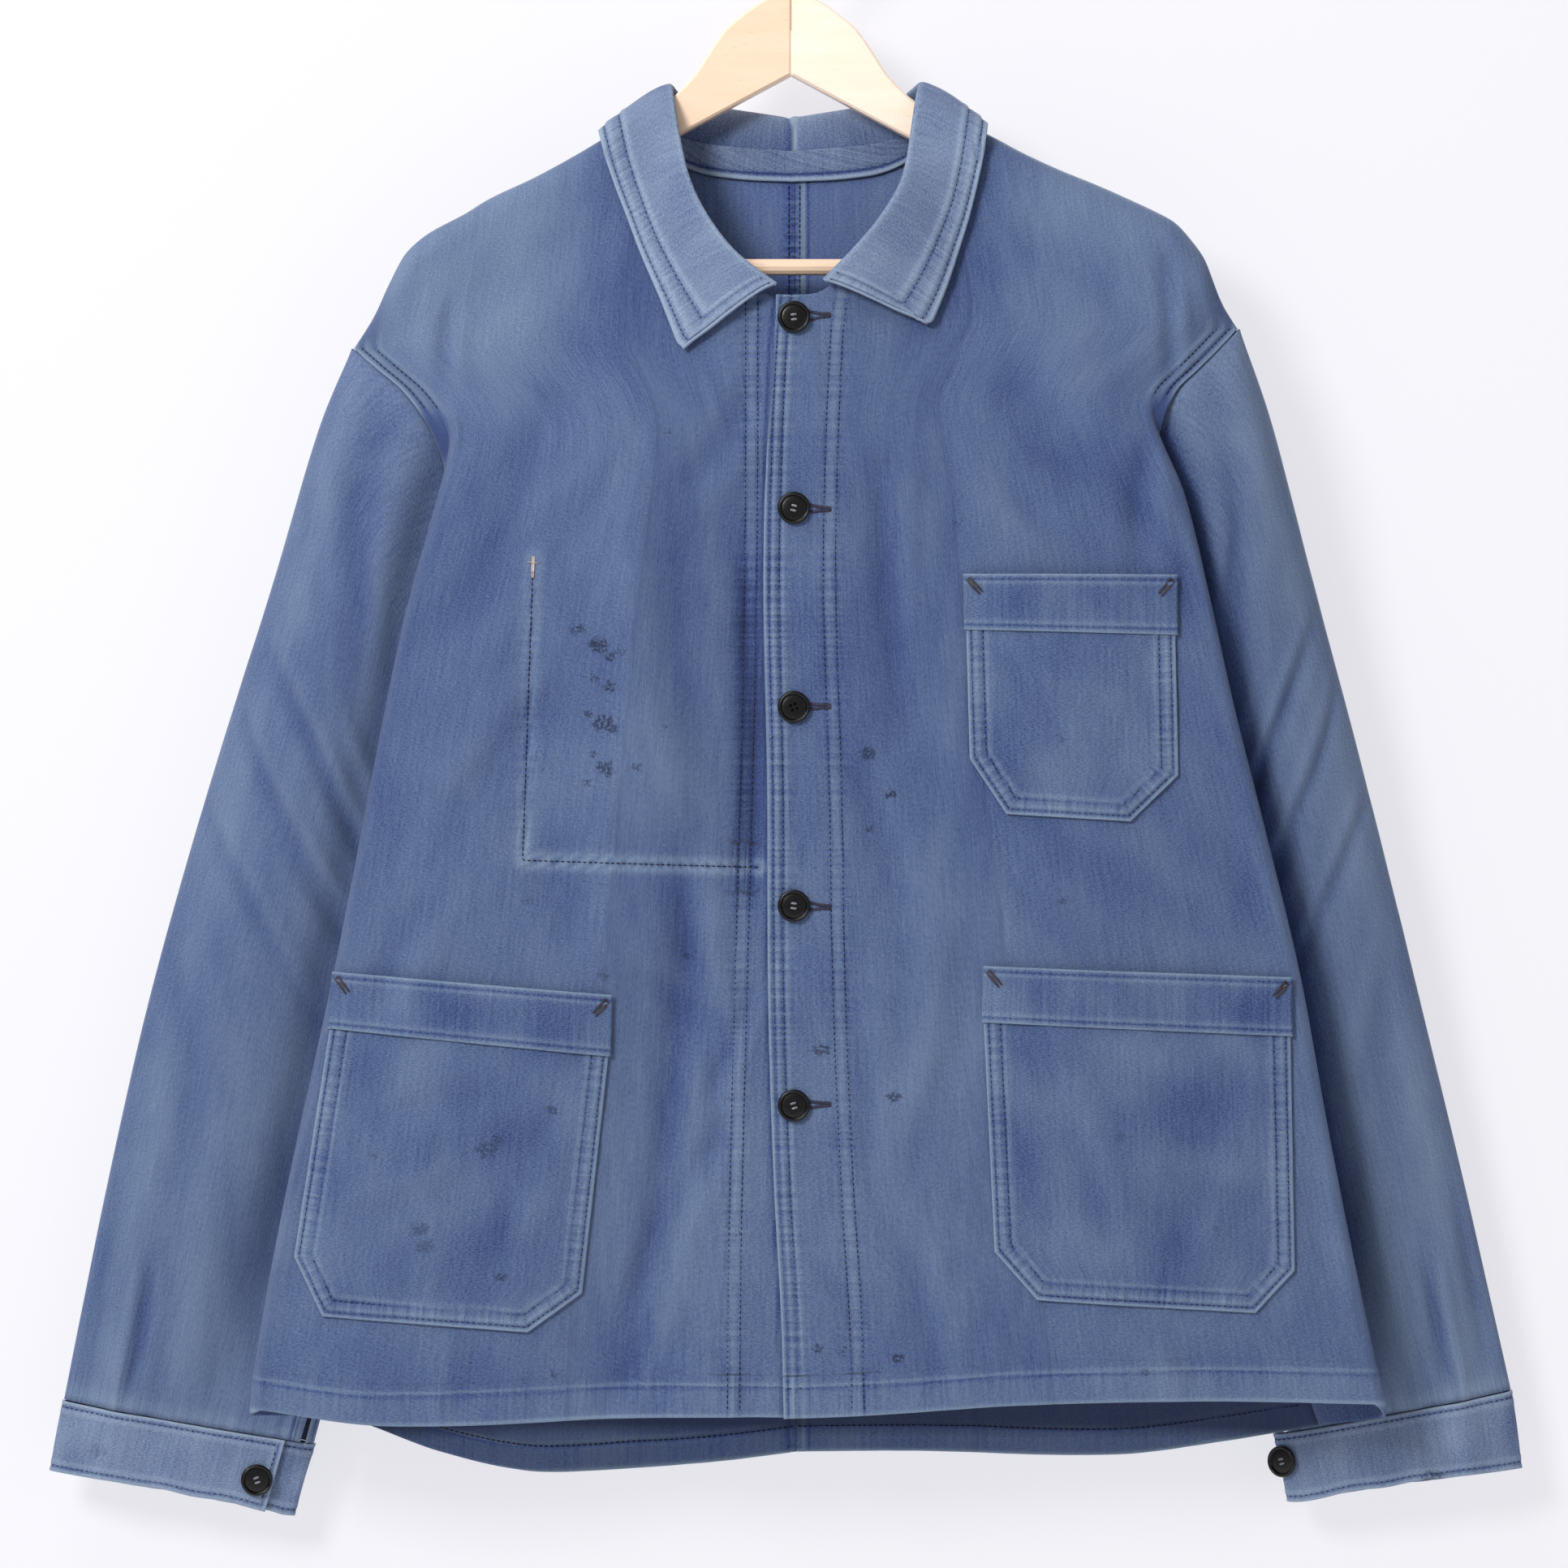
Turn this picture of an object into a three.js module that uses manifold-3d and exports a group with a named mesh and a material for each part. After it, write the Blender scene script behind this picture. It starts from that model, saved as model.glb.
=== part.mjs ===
// A moleskin chore jacket hanging, buttoned, on a wooden clothes hanger with a trouser bar and a wire hook.
// Millimetres. +Z is up, the jacket faces -Y, and +X is the wearer's left. The origin is the inside top of
// the hook, where a rail carries it. Each cut piece of cloth is a closed wall, 0.3 mm from its neighbours.
import * as THREE from "three";
import { mergeVertices } from "three/addons/utils/BufferGeometryUtils.js";
import Module from "manifold-3d";

const wasm = await Module();
wasm.setup();

// Driving sizes
const GAP = 0.3; // between two pieces that touch
const CLOTH = 1.6; // one layer of moleskin with its turnings
const DOUBLE_CLOTH = 2.4; // collar and cuffs, two layers with an interlining
const PATCH_CLOTH = 1.2; // pockets and their bands
const CLOSING_X = 1.4; // the line of buttons
const UNDERLAP = 16; // how far the under front passes that line
const LAP_STEP = 3; // how far the under front lies behind the upper one
const BACK_SEAM_X = 2.4;
const FOLD_RADIUS = 6.5; // of the fold where each front turns to the side
const SHOULDER_ROUND = 13; // how soon the cloth turns down from the top of the hanger
const NECK_POINT = 86; // |x| where the collar seam crosses the shoulder
const NECK_POINT_Z = -118;
const ARM_SWEEP = Math.tan(THREE.MathUtils.degToRad(5)); // the hanger's arms lean forward
const ARM_THICKNESS = 12;
const ARM_LENGTH = 213;
const BAR_RADIUS = 4.6;
const BAR_HALF = 197;
const BAR_HEIGHT = -205;
const BAR_Y = -ARM_SWEEP * 197;
const WIRE_RADIUS = 1.8;
const HOOK_RADIUS = 19.8; // to the middle of the wire
const BUTTON_RADIUS = 9;
const BUTTON_THICKNESS = 3;
const BUTTON_HEIGHTS = [-235.5, -341.7, -452, -562.2, -672.9];

const material = (color, roughness, metalness = 0) =>
  new THREE.MeshStandardMaterial({ color, roughness, metalness });
const moleskin = material(0x61759f, 0.95);
const fadedMoleskin = material(0x7085aa, 0.95);
const beech = material(0xf0d8b4, 0.45);
const steelWire = material(0xb9bbbd, 0.3, 1);
const blackPlastic = material(0x1c1c1d, 0.35);

// Small maths
const { lerp, smoothstep } = THREE.MathUtils;
const smooth = (x, from, to) => (from < to ? smoothstep(x, from, to) : 1 - smoothstep(x, to, from));
const bell = (x, width) => Math.exp(-((x / width) ** 2));
const steps = (count, from = 0, to = 1) =>
  Array.from({ length: count + 1 }, (_, i) => lerp(from, to, i / count));
const table = (names, rows) =>
  rows.map((row) => Object.fromEntries(names.split(" ").map((name, i) => [name, row[i]])));

// One column of a table where another column, which rises, has the value at: a smooth curve through its rows.
function along(rows, key, at, column) {
  const last = rows.length - 1;
  if (at <= rows[0][key]) return rows[0][column];
  if (at >= rows[last][key]) return rows[last][column];
  let i = 0;
  while (at > rows[i + 1][key]) i += 1;
  const slope = (j) => {
    const a = rows[Math.max(j - 1, 0)];
    const b = rows[Math.min(j + 1, last)];
    return (b[column] - a[column]) / (b[key] - a[key]);
  };
  const span = rows[i + 1][key] - rows[i][key];
  const t = (at - rows[i][key]) / span;
  return (
    rows[i][column] * (2 * t ** 3 - 3 * t ** 2 + 1) +
    slope(i) * span * (t ** 3 - 2 * t ** 2 + t) +
    rows[i + 1][column] * (3 * t ** 2 - 2 * t ** 3) +
    slope(i + 1) * span * (t ** 3 - t ** 2)
  );
}

// Tables of the jacket as it hangs. x is the distance from the middle, and depth y is negative to the front.
// fold: where each front turns to the side. seam: where it ends behind that fold, which is the armhole seam
// down to the underarm and the side seam below it. backEdge: the same line on the back. ridge: the line of
// the shoulder over the hanger, from the neck to the shoulder tip.
const SIDES = {
  right: {
    sign: -1,
    shoulderTip: -251,
    underarm: -470,
    foldTop: -288,
    fold: table("z x", [
      [-845, 301.5], [-823, 299.5], [-731, 283], [-594, 253.4], [-465, 228.2], [-400, 214.5],
      [-340, 198], [-307, 190], [-290, 192], [-276, 203], [-262, 219], [-251, 231],
    ]),
    seam: table("z x y", [
      [-850, 252, -8], [-731, 224, 1], [-600, 197, 6], [-470, 184, 0], [-400, 182, -18], [-340, 187, -32],
      [-306, 197, -39], [-294, 203, -39], [-276, 216, -36], [-262, 232, -31], [-251, 244.5, -22],
    ]),
    backEdge: table("z x y", [
      [-850, 252, -8], [-731, 224, 1], [-600, 197, 6], [-470, 184, 0], [-400, 193, 12], [-330, 212, 13],
      [-280, 232, 2], [-251, 244.5, -21],
    ]),
    ridge: table("x z", [
      [NECK_POINT, NECK_POINT_Z], [108, -133.5], [141.7, -153], [169.4, -166.5], [183, -175], [201.4, -185],
      [210.2, -191.6], [217.4, -199.6], [225.6, -215.6], [233.5, -233], [244.5, -251],
    ]),
    frontHem: table("x z", [[-20, -846.5], [6, -846.4], [72, -846.2], [230, -851], [302, -842.5]]),
    backHem: table("x z", [
      [-3, -874], [48, -879.7], [126, -886], [160, -884.5], [208, -871.8], [247, -856], [262, -850],
    ]),
    sleeve: table("t ox oz ix iz oy iy front back", [
      [0, 244.5, -251, 184, -470, -21, 0, 28, 22],
      [0.12, 264, -292, 188, -490, -10, 4, 31, 24],
      [0.3, 293, -385, 199, -545, 0, 9, 31, 25],
      [0.5, 329, -497, 217, -630, 8, 13, 28, 22],
      [0.7, 363, -615, 236, -725, 14, 16, 23, 18],
      [0.85, 389, -728, 252, -797, 18, 19, 18, 14],
      [1, 412.7, -844, 271, -869, 21, 22, 12.5, 10],
    ]),
    cuffFoot: { ox: 420, oz: -884, ix: 283, iz: -910 },
    flapEnd: 0.785 * Math.PI,
    cuffButton: { angle: 0.725 * Math.PI, down: 0.6 },
    collar: table("s x rx ry rz ex ey ez", [
      [0, 12, 9, -51, -218, 61, -53, -255.7],
      [0.14, 36, 32, -47, -199.8, 72, -46, -226.4],
      [0.28, 55, 47.5, -43, -179.4, 82, -37, -203],
      [0.42, 68, 57.5, -37, -158, 91.5, -29, -178],
      [0.56, 78.5, 63.6, -28, -132, 101.5, -26, -152],
      [0.64, 82.7, 66.5, -18.5, -113, 105.5, -26.5, -139],
      [0.68, 84.8, 67.5, -12.5, -106, 106.7, -21, -132.5],
      [0.72, 86, 68, -7, -102, 107, -10, -129.3],
      [0.79, 80, 64.5, 2, -105, 103.5, 11, -128],
      [0.86, 66, 56, 10, -110, 96.5, 18.5, -145.5],
      [1, 0, 0, 14, -118.8, 0, 17.5, -184],
    ]),
  },
  left: {
    sign: 1,
    shoulderTip: -240,
    underarm: -460,
    foldTop: -280,
    fold: table("z x", [
      [-841, 331], [-780, 317.5], [-690, 299.5], [-600, 283], [-520, 263.7], [-454, 247],
      [-394, 233.6], [-334, 219], [-300, 205], [-280, 201.5], [-265, 213], [-253, 224], [-240, 236.5],
    ]),
    seam: table("z x y", [
      [-855, 297, -8], [-780, 271, -4], [-700, 245, 2], [-600, 216, 5], [-460, 199, 0], [-400, 198, -16],
      [-350, 199, -27], [-300, 205, -36], [-275, 215, -38], [-263, 227, -35], [-253, 237, -31],
      [-240, 249.5, -22],
    ]),
    backEdge: table("z x y", [
      [-855, 297, -8], [-780, 271, -4], [-700, 245, 2], [-600, 216, 5], [-460, 199, 0], [-390, 205, 12],
      [-320, 220, 13], [-270, 237, 2], [-240, 249.5, -21],
    ]),
    ridge: table("x z", [
      [NECK_POINT, NECK_POINT_Z], [112, -130.5], [130, -140.3], [150, -149.8], [170.3, -158.3], [188, -166.3],
      [207, -175.5], [215.5, -180.7], [223.4, -189.4], [231.5, -201], [236.6, -214.2], [241, -225.6],
      [249.5, -240],
    ]),
    frontHem: table("x z", [[-6, -847], [46, -845], [146, -838.5], [236, -837.2], [331, -839.4]]),
    backHem: table("x z", [
      [3, -874], [80, -874], [163, -875.5], [200, -874], [242, -867], [276, -860], [297, -855],
    ]),
    sleeve: table("t ox oz ix iz oy iy front back", [
      [0, 249.5, -240, 199, -460, -21, 0, 28, 22],
      [0.12, 268, -286, 203, -482, -10, 4, 31, 24],
      [0.3, 292, -373, 213, -540, 0, 9, 31, 25],
      [0.5, 324, -491, 229, -625, 8, 13, 28, 22],
      [0.7, 354, -609, 246, -718, 14, 17, 23, 18],
      [0.85, 382, -723, 262, -790, 18, 21, 18, 14],
      [1, 408.5, -838.5, 275, -863.7, 21, 24, 12.5, 10],
    ]),
    cuffFoot: { ox: 414, oz: -882.6, ix: 283, iz: -902.6 },
    flapEnd: 1.12 * Math.PI,
    cuffButton: { angle: 0.93 * Math.PI, down: 0.4 },
    collar: table("s x rx ry rz ex ey ez", [
      [0, 21, 19, -51, -216, 77, -50, -241],
      [0.14, 41, 38.5, -47, -195, 84, -45, -224],
      [0.28, 58, 50.5, -43, -180, 91, -37, -204],
      [0.42, 69.5, 62, -37, -160, 98.6, -29, -180],
      [0.56, 79.5, 67, -28, -137, 106, -27, -151],
      [0.64, 83, 70.5, -19, -113.5, 108.5, -27.5, -136],
      [0.68, 85, 72, -12.5, -105, 109, -21, -129],
      [0.72, 86, 73, -7, -101, 109, -10, -125],
      [0.79, 80, 68, 2, -104, 105, 11.5, -124.5],
      [0.86, 66, 59, 10, -109, 98, 18.5, -143],
      [1, 0, 0, 14, -118.8, 0, 17.5, -184],
    ]),
  },
};

// The neckline of the fronts and of the back.
const NECKLINE = table("x z", [
  [0, -223], [16, -221], [34, -207], [52, -188], [66, -167], [76, -145], [NECK_POINT, NECK_POINT_Z],
]);
const BACK_NECKLINE = table("x z", [
  [0, -153], [30, -151.5], [55, -147], [72, -137], [NECK_POINT, NECK_POINT_Z],
]);

// The visible edge of the upper front.
const UPPER_EDGE = table("z x", [
  [-847, -4.2], [-792, -5.6], [-716, -9.7], [-616, -12.8], [-490, -13.5], [-391, -15.5], [-320, -14.4],
  [-249, -11.3], [-221, -8.5],
]);

// The large folds of the fronts: each runs from its top to its foot, and stands forward by rise.
const FRONT_FOLDS = table("x z footX footZ width rise", [
  [-84, -320, -76, -600, 36, 5],
  [-34, -330, -30, -540, 26, -5],
  [-52, -580, -112, -860, 38, -8],
  [62, -300, 66, -560, 34, -5],
  [-172, -300, -190, -620, 44, 4],
  [150, -520, 175, -860, 60, 5],
  [-215, -640, -240, -860, 40, 3],
]);
// The flutes of the back at its hem.
const BACK_FOLDS = table("x width rise", [
  [-205, 40, -4], [-128, 48, 7], [-40, 40, -4], [60, 44, 3], [150, 50, -3], [215, 40, 3],
]);

// The line over the shoulder, carried on past the neck point, and how far below it a point lies.
const ridgeHeight = (side, reach) => along(side.ridge, "x", reach, "z") + Math.max(NECK_POINT - reach, 0) * 0.7;
function belowRidge(side, reach, z) {
  const slope = (ridgeHeight(side, reach - 2) - ridgeHeight(side, reach + 2)) / 4;
  return Math.max(ridgeHeight(side, reach) - z, 0) / Math.hypot(1, slope);
}
// How much of its turn over the shoulder the cloth still has to make: 1 on the ridge, 0 below the round.
const overShoulder = (below) => 1 - Math.sqrt(1 - (1 - Math.min(below / SHOULDER_ROUND, 1)) ** 2);

// The outer face of a front, where it is seen from the front.
function frontDepth(side, x, z) {
  const reach = Math.abs(x);
  const shoulder = 11 + ARM_SWEEP * reach + 31 * bell(reach, 60);
  const body = 50 - 5 * (reach / 300) ** 2;
  let hang = lerp(body, shoulder, smooth(z, -330, -150));
  for (const fold of FRONT_FOLDS) {
    const down = (z - fold.z) / (fold.footZ - fold.z);
    const tail = fold.footZ < -850 ? 1 : smooth(down, 1.2, 0.75);
    hang += fold.rise * smooth(down, -0.25, 0.3) * tail * bell(x - lerp(fold.x, fold.footX, down), fold.width);
  }
  const lap = side.sign < 0 ? LAP_STEP * smooth(x, CLOSING_X - 46, CLOSING_X - 17) : 0;
  return lerp(-hang, -ARM_SWEEP * reach, overShoulder(belowRidge(side, reach, z))) + lap;
}

// The outer face of the back, away from its edges.
function backDepth(side, x, z) {
  const reach = Math.abs(x);
  const shoulder = 13 - ARM_SWEEP * Math.max(reach - 50, 0);
  let hang = lerp(26, shoulder, smooth(z, -430, -160));
  for (const fold of BACK_FOLDS) hang += fold.rise * smooth(z, -420, -820) * bell(x - fold.x, fold.width);
  return lerp(hang, -ARM_SWEEP * reach, overShoulder(belowRidge(side, reach, z)));
}

const closingEdge = (side, z) => (side.sign > 0 ? along(UPPER_EDGE, "z", z, "x") : -(CLOSING_X + UNDERLAP));

// The way a front runs into its seam at height z.
function intoSeam(side, z) {
  const outward = smooth(z, side.foldTop - 45, side.foldTop + 5);
  return new THREE.Vector3(lerp(-0.85, 0.92, outward), lerp(0.5, 0.4, outward), 0).normalize();
}

// A front's section at height z, past where its fold starts: the round, then the return to the seam.
function foldSection(side, z) {
  const startX = along(side.fold, "z", z, "x") - FOLD_RADIUS;
  const startY = frontDepth(side, startX * side.sign, z);
  const round = (angle) =>
    new THREE.Vector3(startX + FOLD_RADIUS * Math.sin(angle), startY + FOLD_RADIUS * (1 - Math.cos(angle)), z);
  const from = round(Math.PI / 2);
  const to = new THREE.Vector3(along(side.seam, "z", z, "x"), along(side.seam, "z", z, "y"), z);
  const reach = from.distanceTo(to);
  const back = new THREE.CubicBezierCurve3(
    from,
    from.clone().add(new THREE.Vector3(0, reach * 0.3, 0)),
    to.clone().addScaledVector(intoSeam(side, z), -reach * 0.35),
    to,
  );
  return { startX, round, back };
}

// The depth of the return behind the fold, at a distance x from the middle.
function returnDepth(side, x, z) {
  const { back } = foldSection(side, z);
  let low = 0;
  let high = 1;
  for (let i = 0; i < 14; i += 1) {
    const middle = (low + high) / 2;
    if (back.getPoint(middle).x > x) low = middle;
    else high = middle;
  }
  return back.getPoint(low).y;
}

// Where each column of a front starts, on the neckline or the shoulder ridge. u is 0 at the closing, 1 at the
// neck point, 2 where the fold starts, 2 to 3 round the fold, and 3 to 4 from there to the seam.
const FRONT_COLUMNS = [
  0, 0.1, 0.22, 0.4, 0.58, 0.75, 0.89, 0.96, 1, 1.17, 1.34, 1.5, 1.67, 1.84, 2, 2.5, 3, 3.25, 3.5, 3.75, 4,
];
const BODY_ROWS = [
  0, 0.0035, 0.01, 0.021, 0.04, 0.065, 0.09, 0.115, 0.14, 0.17, 0.2, 0.235, 0.275, 0.32, 0.375, 0.43, 0.49,
  0.56, 0.63, 0.7, 0.77, 0.85, 0.93, 1,
];
const NECK_SHARE = 0.46; // of the way from the closing to the fold, for the column from the neck point

function frontTop(side, u) {
  const tipX = side.ridge.at(-1).x;
  const foldStart = along(side.fold, "z", side.shoulderTip, "x") - 20;
  let x;
  if (u <= 1) x = lerp(closingEdge(side, -221), NECK_POINT, u);
  else if (u <= 2) x = lerp(NECK_POINT, foldStart, u - 1);
  else x = lerp(foldStart, tipX, (u - 2) / 2);
  const z = x < NECK_POINT ? along(NECKLINE, "x", Math.abs(x), "z") : ridgeHeight(side, x);
  return { x, z };
}

// A point on a front's outer face: down is 0 on the top line and 1 at the hem.
function frontPoint(side, u, down) {
  const { sign } = side;
  const top = frontTop(side, u);
  const share = u <= 1 ? NECK_SHARE * u : lerp(NECK_SHARE, 1, Math.min(u - 1, 1));
  const hemX = share * along(side.fold, "z", -841, "x");
  const seamShare = Math.max(u - 2, 0) / 2;
  const z = lerp(top.z, lerp(along(side.frontHem, "x", hemX, "z"), side.backHem.at(-1).z, seamShare), down);
  const level = Math.min(z, side.shoulderTip);
  const { startX, round, back } = foldSection(side, level);
  const seam = (column) => along(side.seam, "z", level, column);
  const plainX = u <= 2 ? lerp(closingEdge(side, z), startX, share) : lerp(startX, seam("x"), (u - 2) / 2);
  const settling = lerp(120, Math.max(top.z - side.shoulderTip, 0) + 1, smooth(u, 1, 2));
  const x = lerp(top.x, plainX, u === 4 ? 1 : smooth(top.z - z, 0, settling));
  const turned = smooth(z, side.foldTop + 8, side.foldTop - 40);
  const atTip = smooth(z, side.shoulderTip + 30, side.shoulderTip - 5);
  const near = smooth(seam("x") - x, 45, 0) * atTip * (1 - turned);
  const y = lerp(frontDepth(side, x * sign, z), seam("y"), u === 4 ? 1 : near);
  const point = new THREE.Vector3(x, y, z);
  if (u > 2) point.lerp(u <= 3 ? round((Math.PI / 2) * (u - 2)) : back.getPoint(u - 3), turned);
  point.z = z;
  if (down === 0 && u >= 1) point.y -= GAP / 2;
  if (u === 4) point.x += GAP / 2;
  point.x *= sign;
  return point;
}

// A point on the back's outer face: u is 0 at the centre back seam, 1 at the neck point, 2 at the armhole
// and side seam.
const BACK_COLUMNS = [0, 0.33, 0.62, 0.86, 0.95, 1, 1.15, 1.3, 1.45, 1.6, 1.72, 1.82, 1.91, 2];

function backPoint(side, u, down) {
  const { sign } = side;
  const seamX = BACK_SEAM_X * sign;
  const tipX = side.ridge.at(-1).x;
  const topX = u <= 1 ? lerp(seamX, NECK_POINT, u) : lerp(NECK_POINT, tipX, u - 1);
  const topZ = u < 1 ? along(BACK_NECKLINE, "x", Math.abs(topX), "z") : ridgeHeight(side, topX);
  const share = u <= 1 ? 0.355 * u : lerp(0.355, 1, u - 1);
  const hemX = lerp(seamX, side.backHem.at(-1).x, share);
  const z = lerp(topZ, along(side.backHem, "x", hemX, "z"), down);
  const edge = (column) => along(side.backEdge, "z", Math.min(z, side.shoulderTip), column);
  const x = lerp(topX, lerp(seamX, edge("x"), share), u === 2 ? 1 : smooth(topZ - z, 0, 130));
  const toEdge = Math.max(x / edge("x"), 0) ** 4 * smooth(z, side.shoulderTip + 25, side.shoulderTip - 40);
  const y = lerp(backDepth(side, x * sign, z), edge("y"), u === 2 ? 1 : toEdge);
  const point = new THREE.Vector3(x, y, z);
  if (down === 0 && u >= 1) point.y += GAP / 2;
  if (u === 0) point.x += (sign * GAP) / 2;
  if (u === 2) point.x -= GAP / 2;
  point.x *= sign;
  return point;
}

// A closed wall from a grid of points: at(column, row) is on its outer face, and its inner face lies
// thickness behind, on the side that inward points to. shift moves the whole wall that way. direction can
// give a point of the border its own way in.
function wall(columns, rows, at, inward, thickness, shift = 0, direction = () => undefined) {
  const points = columns.map((c) => rows.map((r) => at(c, r)));
  const lastColumn = columns.length - 1;
  const lastRow = rows.length - 1;
  const normals = points.map((line, i) =>
    line.map((point, j) => {
      const a = points[Math.min(i + 1, lastColumn)][j].clone().sub(points[Math.max(i - 1, 0)][j]);
      const b = line[Math.min(j + 1, lastRow)].clone().sub(line[Math.max(j - 1, 0)]);
      return a.cross(b).normalize();
    }),
  );
  const i = columns.length >> 1;
  const j = rows.length >> 1;
  const sense = Math.sign(normals[i][j].dot(inward(points[i][j], columns[i], rows[j])));
  const ways = normals.map((line, m) =>
    line.map((normal, n) => {
      const way = normal.clone().multiplyScalar(sense);
      return direction(columns[m], rows[n], points[m][n], way) ?? way;
    }),
  );
  const face = (depth) =>
    points.map((line, m) => line.map((point, n) => point.clone().addScaledVector(ways[m][n], depth)));
  return sheet(face(shift), face(shift + thickness));
}

// A closed solid between two grids of points.
function sheet(outer, inner) {
  const columnCount = outer.length;
  const rowCount = outer[0].length;
  const vertices = [...outer.flat(), ...inner.flat()];
  const half = columnCount * rowCount;
  const index = (i, j, back) => (back ? half : 0) + i * rowCount + j;
  const faces = [];
  const quad = (a, b, c, d) => faces.push([a, b, c], [a, c, d]);
  for (let i = 0; i < columnCount - 1; i += 1)
    for (let j = 0; j < rowCount - 1; j += 1) {
      quad(index(i, j), index(i + 1, j), index(i + 1, j + 1), index(i, j + 1));
      quad(index(i, j, 1), index(i, j + 1, 1), index(i + 1, j + 1, 1), index(i + 1, j, 1));
    }
  for (let i = 0; i < columnCount - 1; i += 1) {
    const j = rowCount - 1;
    quad(index(i, 0), index(i, 0, 1), index(i + 1, 0, 1), index(i + 1, 0));
    quad(index(i, j), index(i + 1, j), index(i + 1, j, 1), index(i, j, 1));
  }
  for (let j = 0; j < rowCount - 1; j += 1) {
    const i = columnCount - 1;
    quad(index(0, j), index(0, j + 1), index(0, j + 1, 1), index(0, j, 1));
    quad(index(i, j), index(i, j, 1), index(i, j + 1, 1), index(i, j + 1));
  }
  const volume = faces.reduce(
    (sum, [a, b, c]) => sum + vertices[a].clone().cross(vertices[b]).dot(vertices[c]),
    0,
  );
  const turned = volume < 0 ? faces.map(([a, b, c]) => [a, c, b]) : faces;
  const geometry = new THREE.BufferGeometry();
  const positions = vertices.flatMap((vertex) => vertex.toArray());
  geometry.setAttribute("position", new THREE.Float32BufferAttribute(positions, 3));
  geometry.setIndex(turned.flat());
  return geometry;
}

function named(name, geometry, finish) {
  const mesh = new THREE.Mesh(geometry, finish);
  mesh.name = name;
  return mesh;
}
const backward = () => new THREE.Vector3(0, 1, 0);
const forward = () => new THREE.Vector3(0, -1, 0);

// The way in at a shoulder seam and at a side seam, the same for the two pieces that meet there.
function seamDirection(side, lastColumn) {
  return (u, v, point) => {
    if (u === lastColumn && point.z < side.underarm) return new THREE.Vector3(-0.25 * side.sign, -0.97, 0);
    if (v > 0 || u < 1) return undefined;
    const reach = Math.abs(point.x);
    const slope = (ridgeHeight(side, reach - 2) - ridgeHeight(side, reach + 2)) / 4;
    return new THREE.Vector3(-slope * side.sign, 0, -1).normalize();
  };
}
function front(side) {
  const at = (u, v) => frontPoint(side, u, v);
  return wall(FRONT_COLUMNS, BODY_ROWS, at, backward, CLOTH, 0, seamDirection(side, 4));
}
function back(side) {
  const atSeams = seamDirection(side, 2);
  const direction = (u, v, point, way) => (u === 0 ? way.setX(0).normalize() : atSeams(u, v, point));
  return wall(BACK_COLUMNS, BODY_ROWS, (u, v) => backPoint(side, u, v), forward, CLOTH, 0, direction);
}

// The armhole seam as a loop, just outside the body's edge: angle 0 is at the shoulder, half a turn at the
// underarm, the front half first.
function armholePoint(side, angle) {
  const isFront = Math.sin(angle) >= 0;
  const z = lerp(side.shoulderTip, side.underarm, (1 - Math.cos(angle)) / 2);
  const edge = isFront ? side.seam : side.backEdge;
  const point = new THREE.Vector3(along(edge, "z", z, "x"), along(edge, "z", z, "y"), z);
  const past = isFront ? intoSeam(side, z).multiplyScalar(3.4) : new THREE.Vector3(1.4, 0.3, 0);
  past.lerp(new THREE.Vector3(4, 4, 4), bell(Math.PI - Math.abs(angle), 0.6));
  return point.addScaledVector(past, GAP * 2);
}

// A point on a sleeve's outer face: t is 0 at the armhole and 1 at the cuff, the angle as in armholePoint.
// Where the sleeve hangs behind the front's fold, it lies against the return.
const SLEEVE_SEAM_ANGLE = 0.87 * Math.PI; // on the front of the sleeve, near its inner edge
const SLEEVE_PLEAT = { angle: 0.32 * Math.PI, width: 0.16, height: 3.2, from: 0.86 };
const SLEEVE_CLEARANCE = 4;

function sleevePoint(side, t, angle) {
  const value = (column) => along(side.sleeve, "t", t, column);
  const inner = (1 - Math.cos(angle)) / 2;
  const swell = Math.abs(Math.sin(angle)) ** 0.8;
  const { height, from, width } = SLEEVE_PLEAT;
  const pleat = height * smooth(t, from, 0.97) * bell(angle - SLEEVE_PLEAT.angle, width);
  const depth = Math.sin(angle) >= 0 ? -(value("front") * swell + pleat) : value("back") * swell;
  const point = new THREE.Vector3(
    lerp(value("ox"), value("ix"), inner),
    lerp(value("oy"), value("iy"), inner) + depth,
    lerp(value("oz"), value("iz"), inner),
  );
  const seamShare = smooth(0, -0.06, 0.13);
  const settled = (smooth(t, -0.06, 0.13) - seamShare) / (1 - seamShare);
  if (t < 0.13) point.lerpVectors(armholePoint(side, angle), point, settled);
  const seamX = along(side.seam, "z", point.z, "x");
  const foldX = along(side.fold, "z", point.z, "x");
  const behindFold = point.z < side.foldTop - 20 && point.x > seamX && point.x < foldX + 3;
  if (t > 0 && Math.sin(angle) > -0.5 && behindFold) {
    const against = returnDepth(side, Math.min(point.x, foldX - 0.5), point.z);
    point.y = Math.max(point.y, against + SLEEVE_CLEARANCE * smooth(t, 0, 0.06) + 0.6);
  }
  point.x *= side.sign;
  return point;
}

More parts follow.
